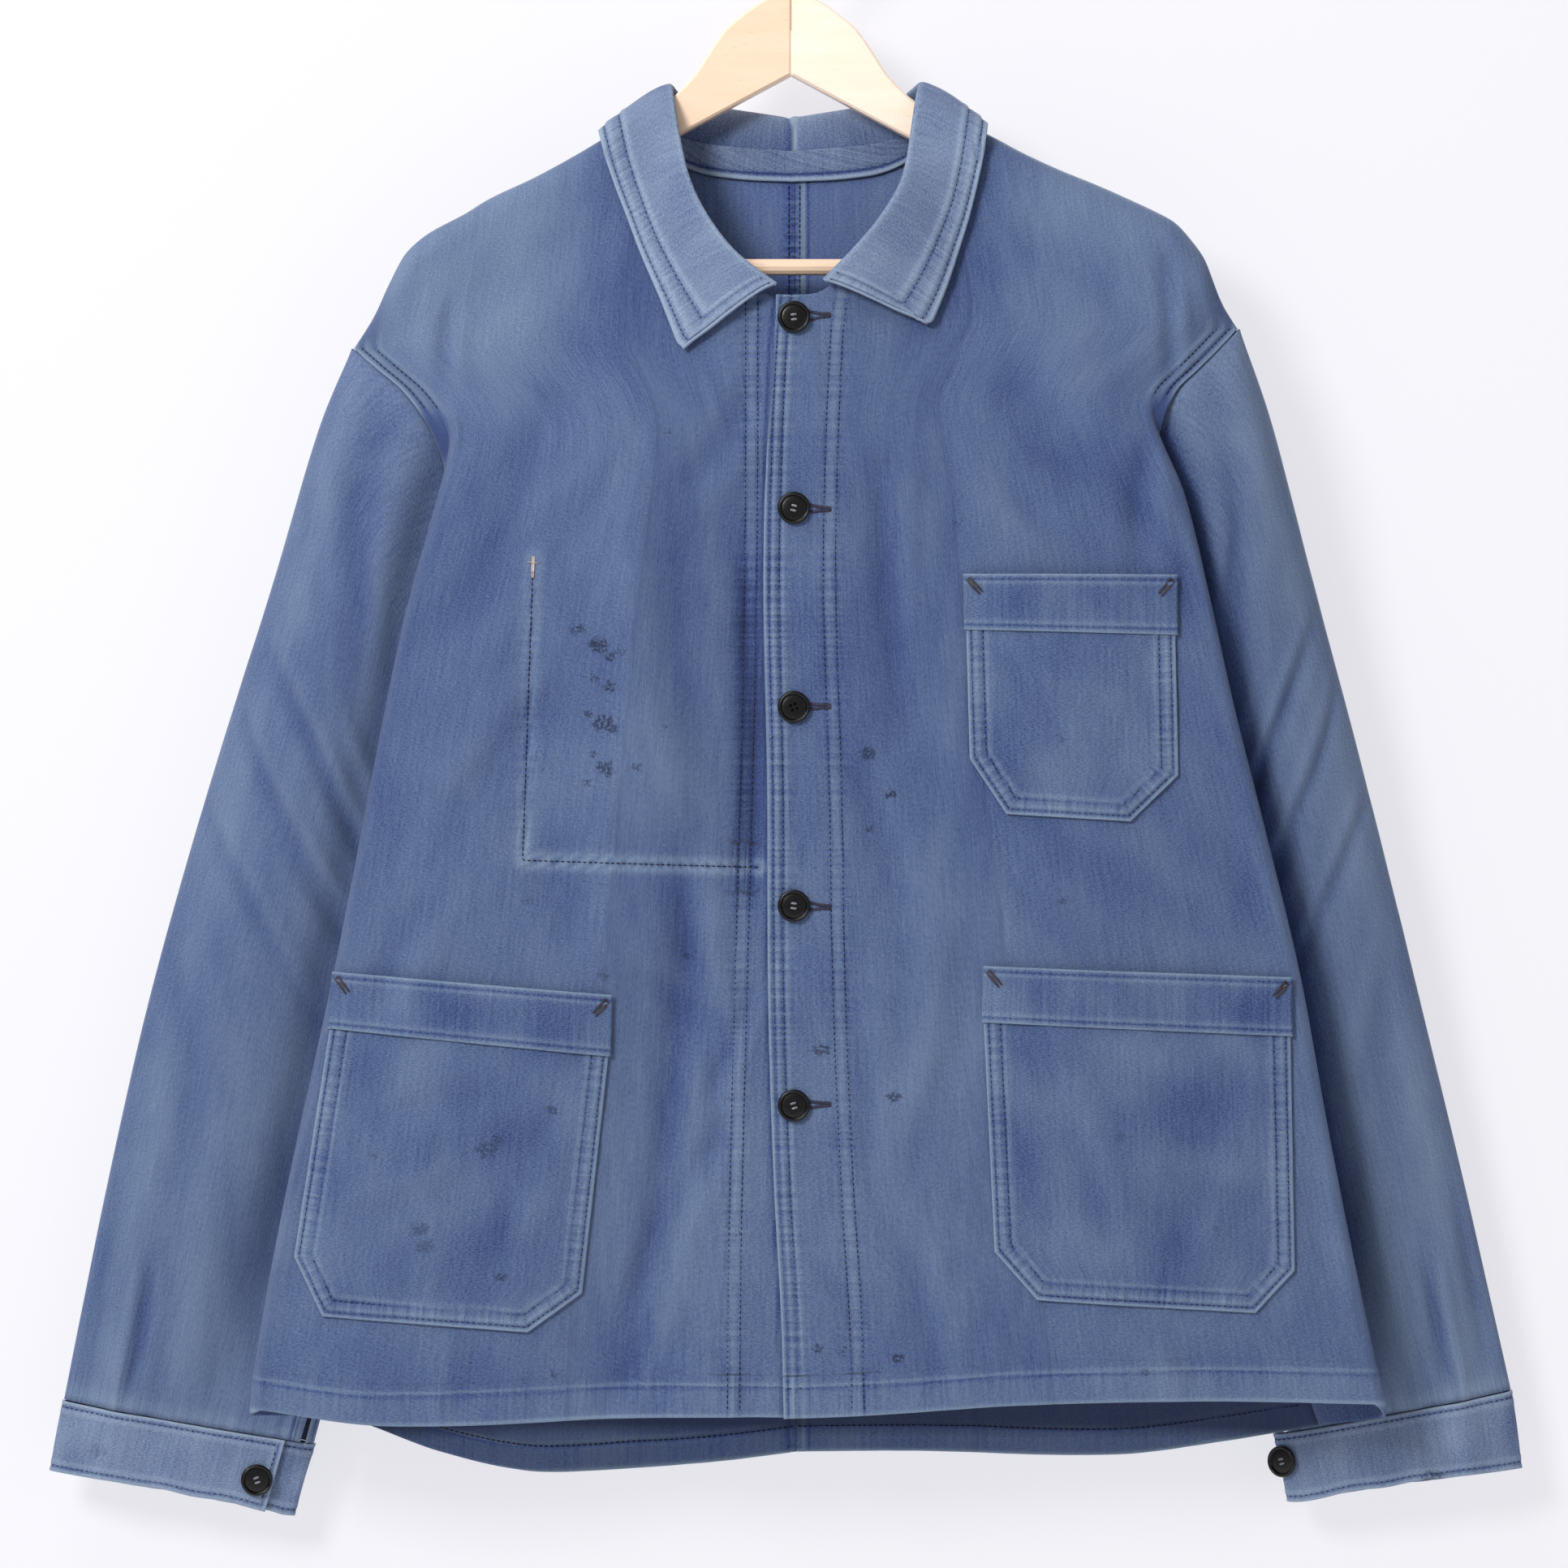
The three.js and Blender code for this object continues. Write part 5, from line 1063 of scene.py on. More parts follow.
def cloth_grid(name, columns, rows, at, outward, thickness, wear, inward_share=1.0):
    """A shell of cloth from a grid: at(u, v) gives its outer face in millimetres, and it grows inward, or to
    both sides where inward_share is 0. The grid's UV map holds its lengths across and down in metres, and
    wear(u, v, points) gives the three values of WEAR."""
    columns, rows = np.asarray(columns, float), np.asarray(rows, float)
    shape = bmesh.new()
    bmesh.ops.create_grid(shape, x_segments=len(columns) - 1, y_segments=len(rows) - 1, size=0.5)
    mesh = mesh_from(shape, name)
    flat = np.empty(len(mesh.vertices) * 3)
    mesh.vertices.foreach_get("co", flat)
    i = np.rint((flat[0::3] + 0.5) * (len(columns) - 1)).astype(int)
    j = np.rint((flat[1::3] + 0.5) * (len(rows) - 1)).astype(int)
    u, v = columns[i], rows[j]
    points = at(u, v)
    mesh.vertices.foreach_set("co", (points * MM).ravel())
    mesh.update()
    grid = np.zeros((len(columns), len(rows), 3))
    grid[i, j] = points
    spans = np.linalg.norm(np.diff(grid, axis=0), axis=-1), np.linalg.norm(np.diff(grid, axis=1), axis=-1)
    across = np.insert(np.cumsum(spans[0].mean(1)), 0, 0)
    down = np.insert(np.cumsum(spans[1], axis=1), 0, 0, axis=1)
    corners = np.empty(len(mesh.loops), dtype=int)
    mesh.loops.foreach_get("vertex_index", corners)
    uv = mesh.uv_layers.new(name="Cloth")
    way = -1 if grid[-1, :, 0].mean() < grid[0, :, 0].mean() - 20 else 1
    uv.data.foreach_set("uv", (np.stack([way * across[i], -down[i, j]], 1)[corners] * MM).ravel())
    for key, values in zip(WEAR, wear(u, v, points)):
        attribute = mesh.attributes.new(key, "FLOAT", "POINT")
        attribute.data.foreach_set("value", np.zeros(len(u)) + values)
    middle = mesh.polygons[len(mesh.polygons) // 2]
    if Vector(outward).dot(middle.normal) < 0:
        mesh.flip_normals()
    mesh.shade_smooth()
    piece = add_object(name, mesh)
    shell = piece.modifiers.new("Cloth", "SOLIDIFY")
    shell.thickness = thickness * MM
    shell.offset = -inward_share
    shell.use_rim = True
    area = (spans[0][:, 1:] * spans[1][1:, :]).sum()
    piece["flat"] = [float(spans[0].sum(0).mean() * MM), float(spans[1].sum(1).mean() * MM)]
    piece["area"] = float(area * MM * MM)
    return piece


def steps(start, end, spacing, close=()):
    """Values from start to end at a spacing, with finer ones in each (from, to, spacing) of close."""
    values = [np.linspace(start, end, max(int(round(abs(end - start) / spacing)), 1) + 1)]
    for low, high, fine in close:
        kept = [v[(v < low) | (v > high)] for v in values]
        values = kept + [np.linspace(low, high, int(round((high - low) / fine)) + 1)]
    return np.unique(np.concatenate(values).round(6))


# ---- Stitches ----
class Seams:
    """Collects single stitches along lines on the cloth, and makes them one piece of thread."""

    def __init__(self):
        self.places = []

    def row(self, points, outward, pitch=None, length=None, width=None, sink=0.1):
        """Stitches along a line of points in mm, lying on the side that outward points to."""
        pitch = pitch or sizes().stitch_pitch / MM
        length = length or pitch * 0.72
        width = width or sizes().thread_width / MM
        points = np.asarray(points, float)
        outward = np.broadcast_to(np.asarray(outward, float), points.shape)
        reach = np.insert(np.cumsum(np.linalg.norm(np.diff(points, axis=0), axis=1)), 0, 0)
        count = max(int(reach[-1] / pitch), 1)
        centres = (np.arange(count) + 0.5) * reach[-1] / count
        at = lambda where, values: np.stack([np.interp(where, reach, values[:, k]) for k in range(3)], 1)
        ways = at(centres + length / 2, points) - at(centres - length / 2, points)
        for centre, way, up in zip(at(centres, points), ways, at(centres, outward)):
            if np.linalg.norm(way) < 1e-6:
                continue
            along_way = way / np.linalg.norm(way)
            across = np.cross(up, along_way)
            across /= max(np.linalg.norm(across), 1e-9)
            up = np.cross(along_way, across)
            self.places.append((centre - up * sink, along_way * length, across * width, up * width * 0.8))

    def make(self, name, material, slot):
        """One mesh with a copy of a small rounded bar at each stitch."""
        shape = bmesh.new()
        bmesh.ops.create_cube(shape, size=1.0)
        bmesh.ops.subdivide_edges(
            shape, edges=[e for e in shape.edges if abs(e.verts[0].co.x - e.verts[1].co.x) > 0.5], cuts=1
        )
        for vert in shape.verts:
            if abs(vert.co.x) > 0.4:
                vert.co.y *= 0.55
                vert.co.z = vert.co.z * 0.5 - 0.35
        bar = mesh_from(shape, name)
        local = np.array([v.co for v in bar.vertices])
        faces = np.array([p.vertices[:] for p in bar.polygons])
        frames = np.array([[a, b, c] for _, a, b, c in self.places])
        centres = np.array([p[0] for p in self.places])
        points = centres[:, None, :] + np.einsum("vk,nkc->nvc", local, frames)
        all_faces = (np.arange(len(centres))[:, None, None] * len(local) + faces).reshape(-1, faces.shape[1])
        bar.clear_geometry()
        bar.from_pydata((points.reshape(-1, 3) * MM).tolist(), [], all_faces.tolist())
        bar.shade_smooth()
        return finish_piece(add_object(name, bar), material, slot)


FORWARD = np.array([0.0, -1.0, 0.0])
BACKWARD = np.array([0.0, 1.0, 0.0])


def on_front(side, x, z, lift=0.15):
    return xyz(x, front_surface(side, x, z) - lift, z)


# Small dark marks on the fronts: x, z, size, strength
MARKS = [
    (-118, -409, 3.4, 0.75), (-107, -418, 5.2, 0.85), (-100, -424, 3.2, 0.8), (-95, -421, 2.2, 0.6),
    (-109, -436, 2.4, 0.7), (-101, -441, 3.4, 0.8), (-112, -456, 2.6, 0.7), (-104, -461, 5.0, 0.8),
    (-99, -464, 3.4, 0.7), (-110, -478, 2.4, 0.65), (-103, -486, 4.8, 0.75), (-113, -494, 2.2, 0.6),
    (-85, -486, 2.6, 0.6), (-70, -462, 1.8, 0.6), (43, -478, 4.0, 0.75), (55, -501, 3.0, 0.85),
    (43, -520, 2.6, 0.75), (17, -642, 4.0, 0.8), (57, -668, 3.4, 0.8), (15, -808, 3.0, 0.8),
    (29, -809, 2.4, 0.75), (59, -813, 3.2, 0.8), (-68, -300, 1.8, 0.5), (150, -560, 2.4, 0.5),
    (196, -820, 2.6, 0.55), (-30, -745, 2.0, 0.6), (92, -350, 1.8, 0.5), (-104, -600, 3.6, 0.5),
    (-58, -590, 2.2, 0.6), (-146, -560, 2.4, 0.5), (-132, -822, 2.2, 0.5), (210, -450, 1.8, 0.5),
]


# ---- Operators ----
class DressFronts(bpy.types.Operator):
    """Makes the two fronts, the upper one lapped over the under one"""

    bl_idname = "jacket.fronts"
    bl_label = "Fronts"

    def execute(self, context):
        paint = colours()
        cloth = moleskin("cotton_moleskin_fronts", paint.blue, paint.faded, MARKS)
        for name, side in SIDES.items():
            sign = side["sign"]
            # Each spacing is a length in millimetres over the length of its part of the front.
            columns = np.concatenate([
                steps(0, 1, 2.4 / 124, [(0, 0.1, 1.1 / 124), (0.22, 0.36, 1.6 / 124)]),
                steps(1, 2, 2.6 / 146)[1:], steps(2, 3, 0.125)[1:], steps(3, 4, 0.077)[1:],
            ])
            rows = steps(0, 1, 2.9 / 640, [(0, 0.04, 1.4 / 640), (0.955, 1, 1.3 / 640)])

            def worn(u, v, points, side=side, sign=sign):
                x, z = points[:, 0], points[:, 2]
                edge = x * sign - closing_edge(side, z)
                hem = z - along(side["frontHem"], "x", np.abs(x), "z")
                shoulder = smooth(z, -330, -210) * smooth(np.abs(x), 95, 165)
                facing = edge - facing_row(side, z)
                paleness = 0.4 + 0.3 * shoulder + 0.1 * drift(x, z, 230, 4) + 0.12 * smooth(z, -560, -800)
                paleness += 0.25 * bell(facing - 3.4, 3)
                for row in FACING_ROWS:
                    paleness -= 0.3 * bell(facing - row, 0.9)
                # Painted shade: the fold beside the closing is darkened where its shadow falls. Lower down
                # the front is darker toward its hem.
                paleness -= 0.35 * bell(x + 24, 8) * smooth(z, -345, -385) * smooth(z, -580, -540)
                # Painted light: high on the front, the wearer's right side, toward the key lamp, is made
                # lighter and the wearer's left side darker.
                high = smooth(z, -330, -200)
                paleness += 0.12 * smooth(x, -60, -190) * high - 0.15 * smooth(x, 60, 190) * high
                paleness -= 0.2 * smooth(z, -740, -820)
                paleness -= 0.12 * smooth(z, -200, -320) * smooth(z, -640, -480)
                paleness += bell(hem, 1.4) + 0.5 * bell(hem - 18.2, 1.1) - 0.35 * bell(hem - 16.4, 0.8)
                paleness += 0.12 * smooth(hem, 18, 12) + 0.06 * front_relief(side, x, z)
                paleness -= 0.35 * smooth(u, 2.4, 3.2) + 0.24 * bell(np.abs(x) - 84, 34) * smooth(z, -300, -200)
                welt = (along(side["seam"], "z", z, "x") - np.abs(x)) * WELT_SLOPE
                shown = welt_share(side, z) * (u > 2)
                paleness += (0.8 * rubbed(welt, WELT_ROWS) + 0.3 * smooth(welt, 11, 7)) * shown
                pucker = 0.55 * bell(facing - 4, 7) + 0.3 * bell(hem - 14, 8)
                along_seam = np.where(hem < 24, x, z)
                if sign > 0:
                    paleness += rubbed(edge, CLOSING_ROWS)
                    return paleness, pucker + 0.9 * bell(edge - 7, 7), along_seam
                sewn, at = from_outline(INNER_POCKET, x, z)
                paleness += 0.45 * bell(sewn - 2, 2.2) * smooth(z, -500, -530)
                paleness += 0.25 * bell(sewn - 2.5, 3) - 0.3 * bell(sewn, 0.9)
                # Painted shadow: a thin dark line on the under front beside the upper front's edge, where
                # that edge casts its shadow.
                paleness -= 0.5 * bell(x - along(UPPER_EDGE, "z", z, "x") + 0.6, 1.0)
                return paleness, pucker + 0.4 * bell(sewn, 7), np.where(sewn < 14, at, along_seam)

            piece = cloth_grid(
                f"front_{name}_cloth", columns, rows, lambda u, v, side=side: front_point(side, u, v),
                FORWARD, sizes().shell / MM, worn,
            )
            finish_piece(piece, cloth, "moleskin", f"front_{name}")
        return {"FINISHED"}


class DressBack(bpy.types.Operator):
    """Makes the two halves of the back"""

    bl_idname = "jacket.back"
    bl_label = "Back"

    def execute(self, context):
        paint = colours()
        cloth = moleskin("cotton_moleskin_back", paint.blue, paint.faded, inside=paint.inside)
        for name, side in SIDES.items():
            columns = [steps(0, 1, 3.0 / 95, [(0, 0.1, 1.4 / 95)]), steps(1, 2, 3.4 / 160)[1:]]
            columns = np.concatenate(columns)
            rows = steps(0, 1, 4.0 / 700, [(0, 0.03, 2.0 / 700), (0.965, 1, 1.4 / 700)])

            def worn(u, v, points, side=side):
                x, z = points[:, 0], points[:, 2]
                hem = z - along(side["backHem"], "x", np.abs(x), "z")
                paleness = 0.4 + 0.1 * drift(x, z, 180, 2) + 0.1 * smooth(z, -700, -860)
                paleness += rubbed(hem, [BACK_HEM_ROW])
                paleness += 0.9 * bell(x - 7.2, 1.3) - 0.7 * bell(x - 9.2, 1) - 0.4 * bell(x + 0.6, 4)
                return paleness, 1.2 * bell(x - 1.5, 4) + 0.3 * bell(hem - 10, 8), np.where(hem < 24, x, z)

            piece = cloth_grid(
                f"back_{name}_cloth", columns, rows, lambda u, v, side=side: back_point(side, u, v),
                BACKWARD, sizes().shell / MM, worn,
            )
            finish_piece(piece, cloth, "moleskin", f"back_{name}")
        return {"FINISHED"}


class DressSleeves(bpy.types.Operator):
    """Makes the sleeves, open in a slit above the cuff"""

    bl_idname = "jacket.sleeves"
    bl_label = "Sleeves"

    def execute(self, context):
        paint = colours()
        cloth = moleskin("cotton_moleskin_sleeves", paint.blue, paint.faded)
        for name, side in SIDES.items():

            def at(share, t, side=side):
                slit = lerp(0.012, 0.05, smooth(t, 0.9, 1))
                angle = SLEEVE_SEAM_ANGLE - slit - share * (2 * np.pi - 2 * slit)
                return sleeve_surface(side, t, angle)

            def worn(share, t, points, side=side):
                angle = (SLEEVE_SEAM_ANGLE - share * 2 * np.pi + np.pi) % (2 * np.pi) - np.pi
                a, b, sign, z = t * SLEEVE_LENGTH, angle * SLEEVE_RADIUS, side["sign"], points[:, 2]
                seam = np.abs(angle - SLEEVE_SEAM_ANGLE) * SEAM_RADIUS
                paleness = 0.52 + 0.1 * sign + 0.1 * drift(a, b, 220, 7)
                paleness += 0.07 * crease_field(SLEEVE_CREASES, a, b) + 0.16 * bell(b - 80, 12)
                paleness += 0.18 * bell(b - 34, 10) * smooth(t, 0.05, 0.2)
                # Painted shadow: beside the front's side fold the sleeve is darkened where the fold's shadow
                # falls, strongly on the wearer's left and lightly on the right.
                beside = points[:, 0] * sign - along(side["fold"], "z", z, "x")
                front = smooth(np.sin(angle), 0.0, 0.4) * smooth(z, side["foldTop"] + 5, side["foldTop"] - 25)
                painted_fold_shadow = 0.9 * bell(beside, 8) + 0.3 * bell(beside, 20) if sign > 0 else 0.25 * bell(beside, 10)
                paleness -= painted_fold_shadow * front * smooth(z, -860, -700)
                paleness += rubbed(seam, SLEEVE_ROWS) + 0.3 * bell(a - 636, 5) + 0.25 * bell(b, 6)
                return paleness, bell(seam - 5, 6) + 0.5 * smooth(t, 0.955, 1), np.where(t > 0.94, b, a)

            columns = steps(0, 1, 1 / 112, [(0, 0.05, 1 / 230), (0.95, 1, 1 / 230)])
            rows = steps(0, 0.9993, 3.4 / SLEEVE_LENGTH, [(0, 0.012, 0.004)])
            piece = cloth_grid(f"sleeve_{name}_cloth", columns, rows, at, FORWARD, sizes().shell / MM, worn)
            turn_faces_outward(piece, side)
            finish_piece(piece, cloth, "moleskin", f"sleeve_{name}")
        return {"FINISHED"}


def turn_faces_outward(piece, side):
    """Turns a sleeve's faces away from its middle line."""
    mesh = piece.data
    centre = Vector(sleeve_axis(side, np.array([0.5]))[0] * MM)
    behind = centre.y + 30 * MM
    nearest = min(mesh.polygons, key=lambda p: abs(p.center.z - centre.z) + abs(p.center.y - behind) * 3)
    if nearest.normal.dot(nearest.center - centre) < 0:
        mesh.flip_normals()


class DressCuffs(bpy.types.Operator):
    """Makes the cuffs: one strip round each sleeve's end, its flap buttoned over its other end"""

    bl_idname = "jacket.cuffs"
    bl_label = "Cuffs"

    def execute(self, context):
        paint = colours()
        cloth = moleskin("cotton_moleskin_cuffs", paint.blue, paint.collar, CUFF_MARKS)
        for name, side in SIDES.items():

            def angle_of(share, side=side):
                return side["flapEnd"] - share * (2 * np.pi + CUFF_OVERLAP)

            def worn(share, down, points, side=side):
                edge, end = np.minimum(down, 1 - down) * CUFF_DEPTH, np.minimum(share, 1 - share) * CUFF_GIRTH
                paleness = 0.62 + 0.15 * drift(share * CUFF_GIRTH, down * CUFF_DEPTH, 60, 4)
                paleness += rubbed(np.minimum(edge, end), CUFF_ROWS)
                return paleness, 0.3 * bell(edge, 5), share * CUFF_GIRTH

            columns = steps(0, 1, 1 / 128, [(0, 0.025, 1 / CUFF_GIRTH)])
            rows = steps(0.004, 1, 1.5 / CUFF_DEPTH)
            piece = cloth_grid(
                f"cuff_{name}_cloth", columns, rows,
                lambda share, down, side=side, angle_of=angle_of: cuff_surface(side, angle_of(share), down),
                FORWARD, 2.0, worn,
            )
            mesh = piece.data
            front = min(mesh.polygons, key=lambda p: p.center.y)
            if front.normal.y > 0:
                mesh.flip_normals()
            finish_piece(piece, cloth, "faded_moleskin", f"cuff_{name}")
        return {"FINISHED"}


class DressCollar(bpy.types.Operator):
    """Makes the collar with its turned leaf, and the band inside the back neck"""

    bl_idname = "jacket.collar"
    bl_label = "Collar"

    def execute(self, context):
        paint = colours()
        cloth = moleskin("cotton_moleskin_collar", paint.blue, paint.collar)

        def worn(s, t, points):
            from_edge, from_end = (1 - t) * LEAF_DEPTH, np.minimum(s, 1 - s) * COLLAR_LENGTH
            across, from_middle = s * COLLAR_LENGTH, (s - 0.5) * COLLAR_LENGTH
            leaf, edge = smooth(t, COLLAR_ROLL, 0.45), np.minimum(from_edge, from_end)
            paleness = 0.62 + 0.14 * drift(across, t * COLLAR_DEPTH, 120, 5) + 0.3 * bell(t - COLLAR_ROLL, 0.05)
            paleness += rubbed(edge, COLLAR_ROWS) * leaf - 0.35 * smooth(t, 0.3, 0.1)
            paleness += 0.9 * bell(from_middle - 1.2, 1.2) * (1 - leaf) - 0.4 * bell(from_middle + 1, 1)
            return paleness, 0.5 * bell(edge - 6, 5) * leaf, np.where(from_end < from_edge, from_edge, across)

        ends = [(0, 0.024, 1 / COLLAR_LENGTH), (0.494, 0.506, 1 / 840), (0.976, 1, 1 / COLLAR_LENGTH)]
        columns = steps(0, 1, 1 / 190, ends)
        rows = steps(0, 1, 1 / 44, [(0.8, 1, 1 / 80)])
        piece = cloth_grid("collar_cloth", columns, rows, collar_surface, FORWARD, DOUBLE_CLOTH, worn, 0.0)
        finish_piece(piece, cloth, "faded_moleskin", "collar")

        def band_worn(s, t, points):
            paleness = 0.5 + 0.8 * bell(t + 0.02, 0.014) - 0.9 * bell(t - 0.008, 0.009)
            return paleness, 0.5 * smooth(t, 0, 0.03), s * 380 + t * 150

        columns, rows = steps(0.4, 0.6, 1 / 280), steps(-0.03, 0.12, 0.01)
        band = cloth_grid("neck_band_cloth", columns, rows, neck_band_point, FORWARD, 0.9, band_worn)
        finish_piece(band, cloth, "moleskin", "neck_band")
        return {"FINISHED"}


def neck_band_point(s, t):
    """On the inner face of the stand, at the back of the neck."""
    t = np.where(t > 0, t * (1 - 0.3 * ((s - 0.5) / 0.1) ** 2), t)
    ways = np.broadcast_to(FORWARD, (*np.shape(s), 3))
    here, normal = outward_of(collar_base, s, np.maximum(t, 0), 0.002, 0.01, ways)
    pucker = 0.3 * ripple(s * COLLAR_LENGTH, 9, 4.6) * bell(t - 0.075, 0.04)
    piping = 0.6 * bell(t + 0.02, 0.012) - 0.4 * bell(t - 0.012, 0.01)
    here[..., 2] += np.minimum(t, 0) * 110
    return here + normal * (DOUBLE_CLOTH / 2 + 1.3 + pucker + piping)[..., None]


class DressPockets(bpy.types.Operator):
    """Makes the patch pockets with their bands, and the inner pocket"""

    bl_idname = "jacket.pockets"
    bl_label = "Pockets"

    def execute(self, context):
        paint = colours()
        cloth = moleskin("cotton_moleskin_pockets", paint.blue, paint.faded, POCKET_MARKS)
        for name, pocket in POCKETS.items():
            corners = pocket_outline(pocket, 0)
            width = abs(corners[-1, 0] - corners[0, 0])
            tall = abs(corners[0, 1] - corners[2, 1])

            def worn(a, r, points, corners=corners, pocket=pocket):
                x, z = points[:, 0], points[:, 2]
                edge, at = from_outline(corners, x, z)
                paleness = 0.34 + 0.2 * drift(x, z, 110, 3) + rubbed(edge, POCKET_ROWS)
                paleness += 0.15 * smooth(edge, 12, 8) + 0.04 * crease_field(pocket["creases"], x, z)
                return paleness, 0.7 * bell(edge - 6, 6), at

            rows = [steps(0.03, 1, 0.16), steps(1, 2, 2.6 / (tall - 30))]
            rows = np.unique(np.concatenate([*rows, steps(2, 3, 1 / 13, [(2.7, 3, 1 / 26)])]))
            share = 12 / width
            columns = steps(0, 1, 2.5 / width, [(0, share, 1.3 / width), (1 - share, 1, 1.3 / width)])
            bag = cloth_grid(
                f"{name}_cloth", columns, rows, lambda a, r, pocket=pocket: pocket_surface(pocket, a, r),
                FORWARD, 1.0, worn,
            )
            finish_piece(bag, cloth, "faded_moleskin", name)

            def band_worn(a, r, points):
                edge = np.minimum(r, 1 - r) * BAND_DEPTH
                paleness = 0.3 + 0.2 * drift(points[:, 0], points[:, 2], 80, 8) + rubbed(edge, BAND_ROWS)
                return paleness, 0.1 + 0.2 * bell(edge - 3, 4), points[:, 0]

            band = cloth_grid(
                f"{name}_band_cloth", columns, steps(0, 1, 1.5 / BAND_DEPTH),
                lambda a, r, pocket=pocket: pocket_surface(pocket, a, r, True), FORWARD, 1.0, band_worn,
            )
            finish_piece(band, cloth, "moleskin", f"{name}_band")

        def inner_at(across, down):
            x, z = lerp(-147 - 4 * down, -26, across), lerp(-372, -537 - 4 * across, down)
            return xyz(x, front_depth(SIDES["right"], x, z) + CLOTH + 3.4 + 0.3 * drift(x, z, 60, 2), z)

        inner = cloth_grid(
            "inner_pocket_cloth", steps(0, 1, 1 / 30), steps(0, 1, 1 / 36), inner_at, BACKWARD, 1.0,
            lambda u, v, points: (0.1, 0.0, 0.0),
        )
        finish_piece(inner, cloth, "moleskin", "inner_pocket")
        return {"FINISHED"}


POCKET_MARKS = [
    (-169, -697, 5.6, 0.55), (-163, -692, 3.4, 0.5), (-206, -741, 4.6, 0.5), (-203, -751, 5.0, 0.45),
    (-160.6, -768, 3.0, 0.7), (-133, -794, 3.6, 0.8), (-133, -675, 3.2, 0.6), (-232, -700, 2.0, 0.4),
    (182, -690, 2.4, 0.4), (150, -470, 1.8, 0.45), (236, -742, 2.0, 0.45),
]
CUFF_MARKS = [(363, -888, 6.5, 0.6), (354, -893, 4.0, 0.5), (372, -892, 3.0, 0.5), (-392, -872, 5.0, 0.3)]


class SewSeams(bpy.types.Operator):
    """Sews the topstitching, the bar tacks and the buttonholes"""

    bl_idname = "jacket.seams"
    bl_label = "Stitching"

    def execute(self, context):
        seams = Seams()
        for name, side in SIDES.items():
            sign = side["sign"]
            z = np.linspace(-226, -842, 240)
            edge = closing_edge(side, z)
            insets = [facing_row(side, z) + row for row in FACING_ROWS] + (CLOSING_ROWS if sign > 0 else [])
            for inset in insets:
                seams.row(on_front(side, (edge + inset) * sign, z), FORWARD)
            x = np.linspace(4 if sign < 0 else -2, along(side["fold"], "z", -841, "x") - 7, 120)
            hem = along(side["frontHem"], "x", x, "z") + FRONT_HEM_ROW
            seams.row(on_front(side, x * sign, hem, -0.05), FORWARD, length=1.7)
            for row in WELT_ROWS:
                seams.row(self.on_welt(side, row / WELT_SLOPE) + FORWARD * 0.35, FORWARD)
            # The side seam, on the part of the front that has turned back behind its fold.
            down = np.linspace(0.03, 0.985, 200)
            down = down[down > 0.45]
            for u in (3.55, 3.75):
                seams.row(front_point(side, np.zeros_like(down) + u, down) + BACKWARD * 0.1, BACKWARD)
            # The back's hem and its centre seam, on both faces of the cloth.
            u, down = np.linspace(0.01, 1.96, 160), np.linspace(0.004, 0.975, 260)
            from_centre = np.zeros_like(down) + (3.6 if sign < 0 else 2.5) / NECK_POINT
            for row in (back_point(side, u, np.zeros_like(u) + 0.98), back_point(side, from_centre, down)):
                seams.row(row + BACKWARD * 0.1, BACKWARD)
                seams.row(row + FORWARD * 1.75, FORWARD)
            t = np.linspace(0.01, 0.97, 260)
            for row in SLEEVE_ROWS:
                angle = np.zeros_like(t) + SLEEVE_SEAM_ANGLE - row / SEAM_RADIUS
                base = sleeve_surface(side, t, angle, 0.1)
                seams.row(base, base - sleeve_surface(side, t, angle, -1))
            share = np.linspace(0.012, 0.97, 220)
            angle = side["flapEnd"] - share * (2 * np.pi + CUFF_OVERLAP)
            for at_down in (0.085, 0.915):
                base = cuff_surface(side, angle, np.zeros_like(angle) + at_down, 0.1)
                seams.row(base, cuff_outward(side, angle))
            down = np.linspace(0.09, 0.91, 12)
            flap = np.zeros_like(down) + side["flapEnd"] - 0.012 * 2 * np.pi
            seams.row(cuff_surface(side, flap, down, 0.1), cuff_outward(side, flap))
        for inset in COLLAR_ROWS:
            t = 1 - inset / LEAF_DEPTH
            shift = inset / COLLAR_LENGTH
            s = np.linspace(shift, 1 - shift, 420)
            self.collar_row(seams, s, np.zeros_like(s) + t)
            for end in (shift, 1 - shift):
                rows = np.linspace(COLLAR_ROLL + 0.02, t, 50)
                self.collar_row(seams, np.zeros_like(rows) + end, rows)
        for pocket in POCKETS.values():
            side = SIDES[pocket["side"]]
            for inset in POCKET_ROWS:
                corners = pocket_outline(pocket, inset)
                x, z = self.resampled(corners, 160)
                mouth = corners[[0, -1]]
                mouth = mouth[np.argsort(mouth[:, 0])]
                below_band = z < np.interp(x, mouth[:, 0], mouth[:, 1]) - 30
                seams.row(self.on_pocket(pocket, x, z)[below_band], FORWARD)
            across = np.linspace(0.01, 0.99, 80)
            for place in (BAND_ROWS[0] / BAND_DEPTH, 1 - BAND_ROWS[0] / BAND_DEPTH):
                row = pocket_surface(pocket, across, np.zeros_like(across) + place, True)
                seams.row(row + FORWARD * 0.12, FORWARD)
        x, z = self.resampled(INNER_POCKET, 120)
        seams.row(on_front(SIDES["right"], x, z, 0.6), FORWARD)
        seams.make("topstitching", spun_thread(colours().thread), "moleskin")
        self.buttonholes()
        self.bar_tacks()
        return {"FINISHED"}

    @staticmethod
    def resampled(corners, count):
        reach = np.insert(np.cumsum(np.hypot(*np.diff(corners, axis=0).T)), 0, 0)
        where = np.linspace(0, reach[-1], count)
        return np.interp(where, reach, corners[:, 0]), np.interp(where, reach, corners[:, 1])

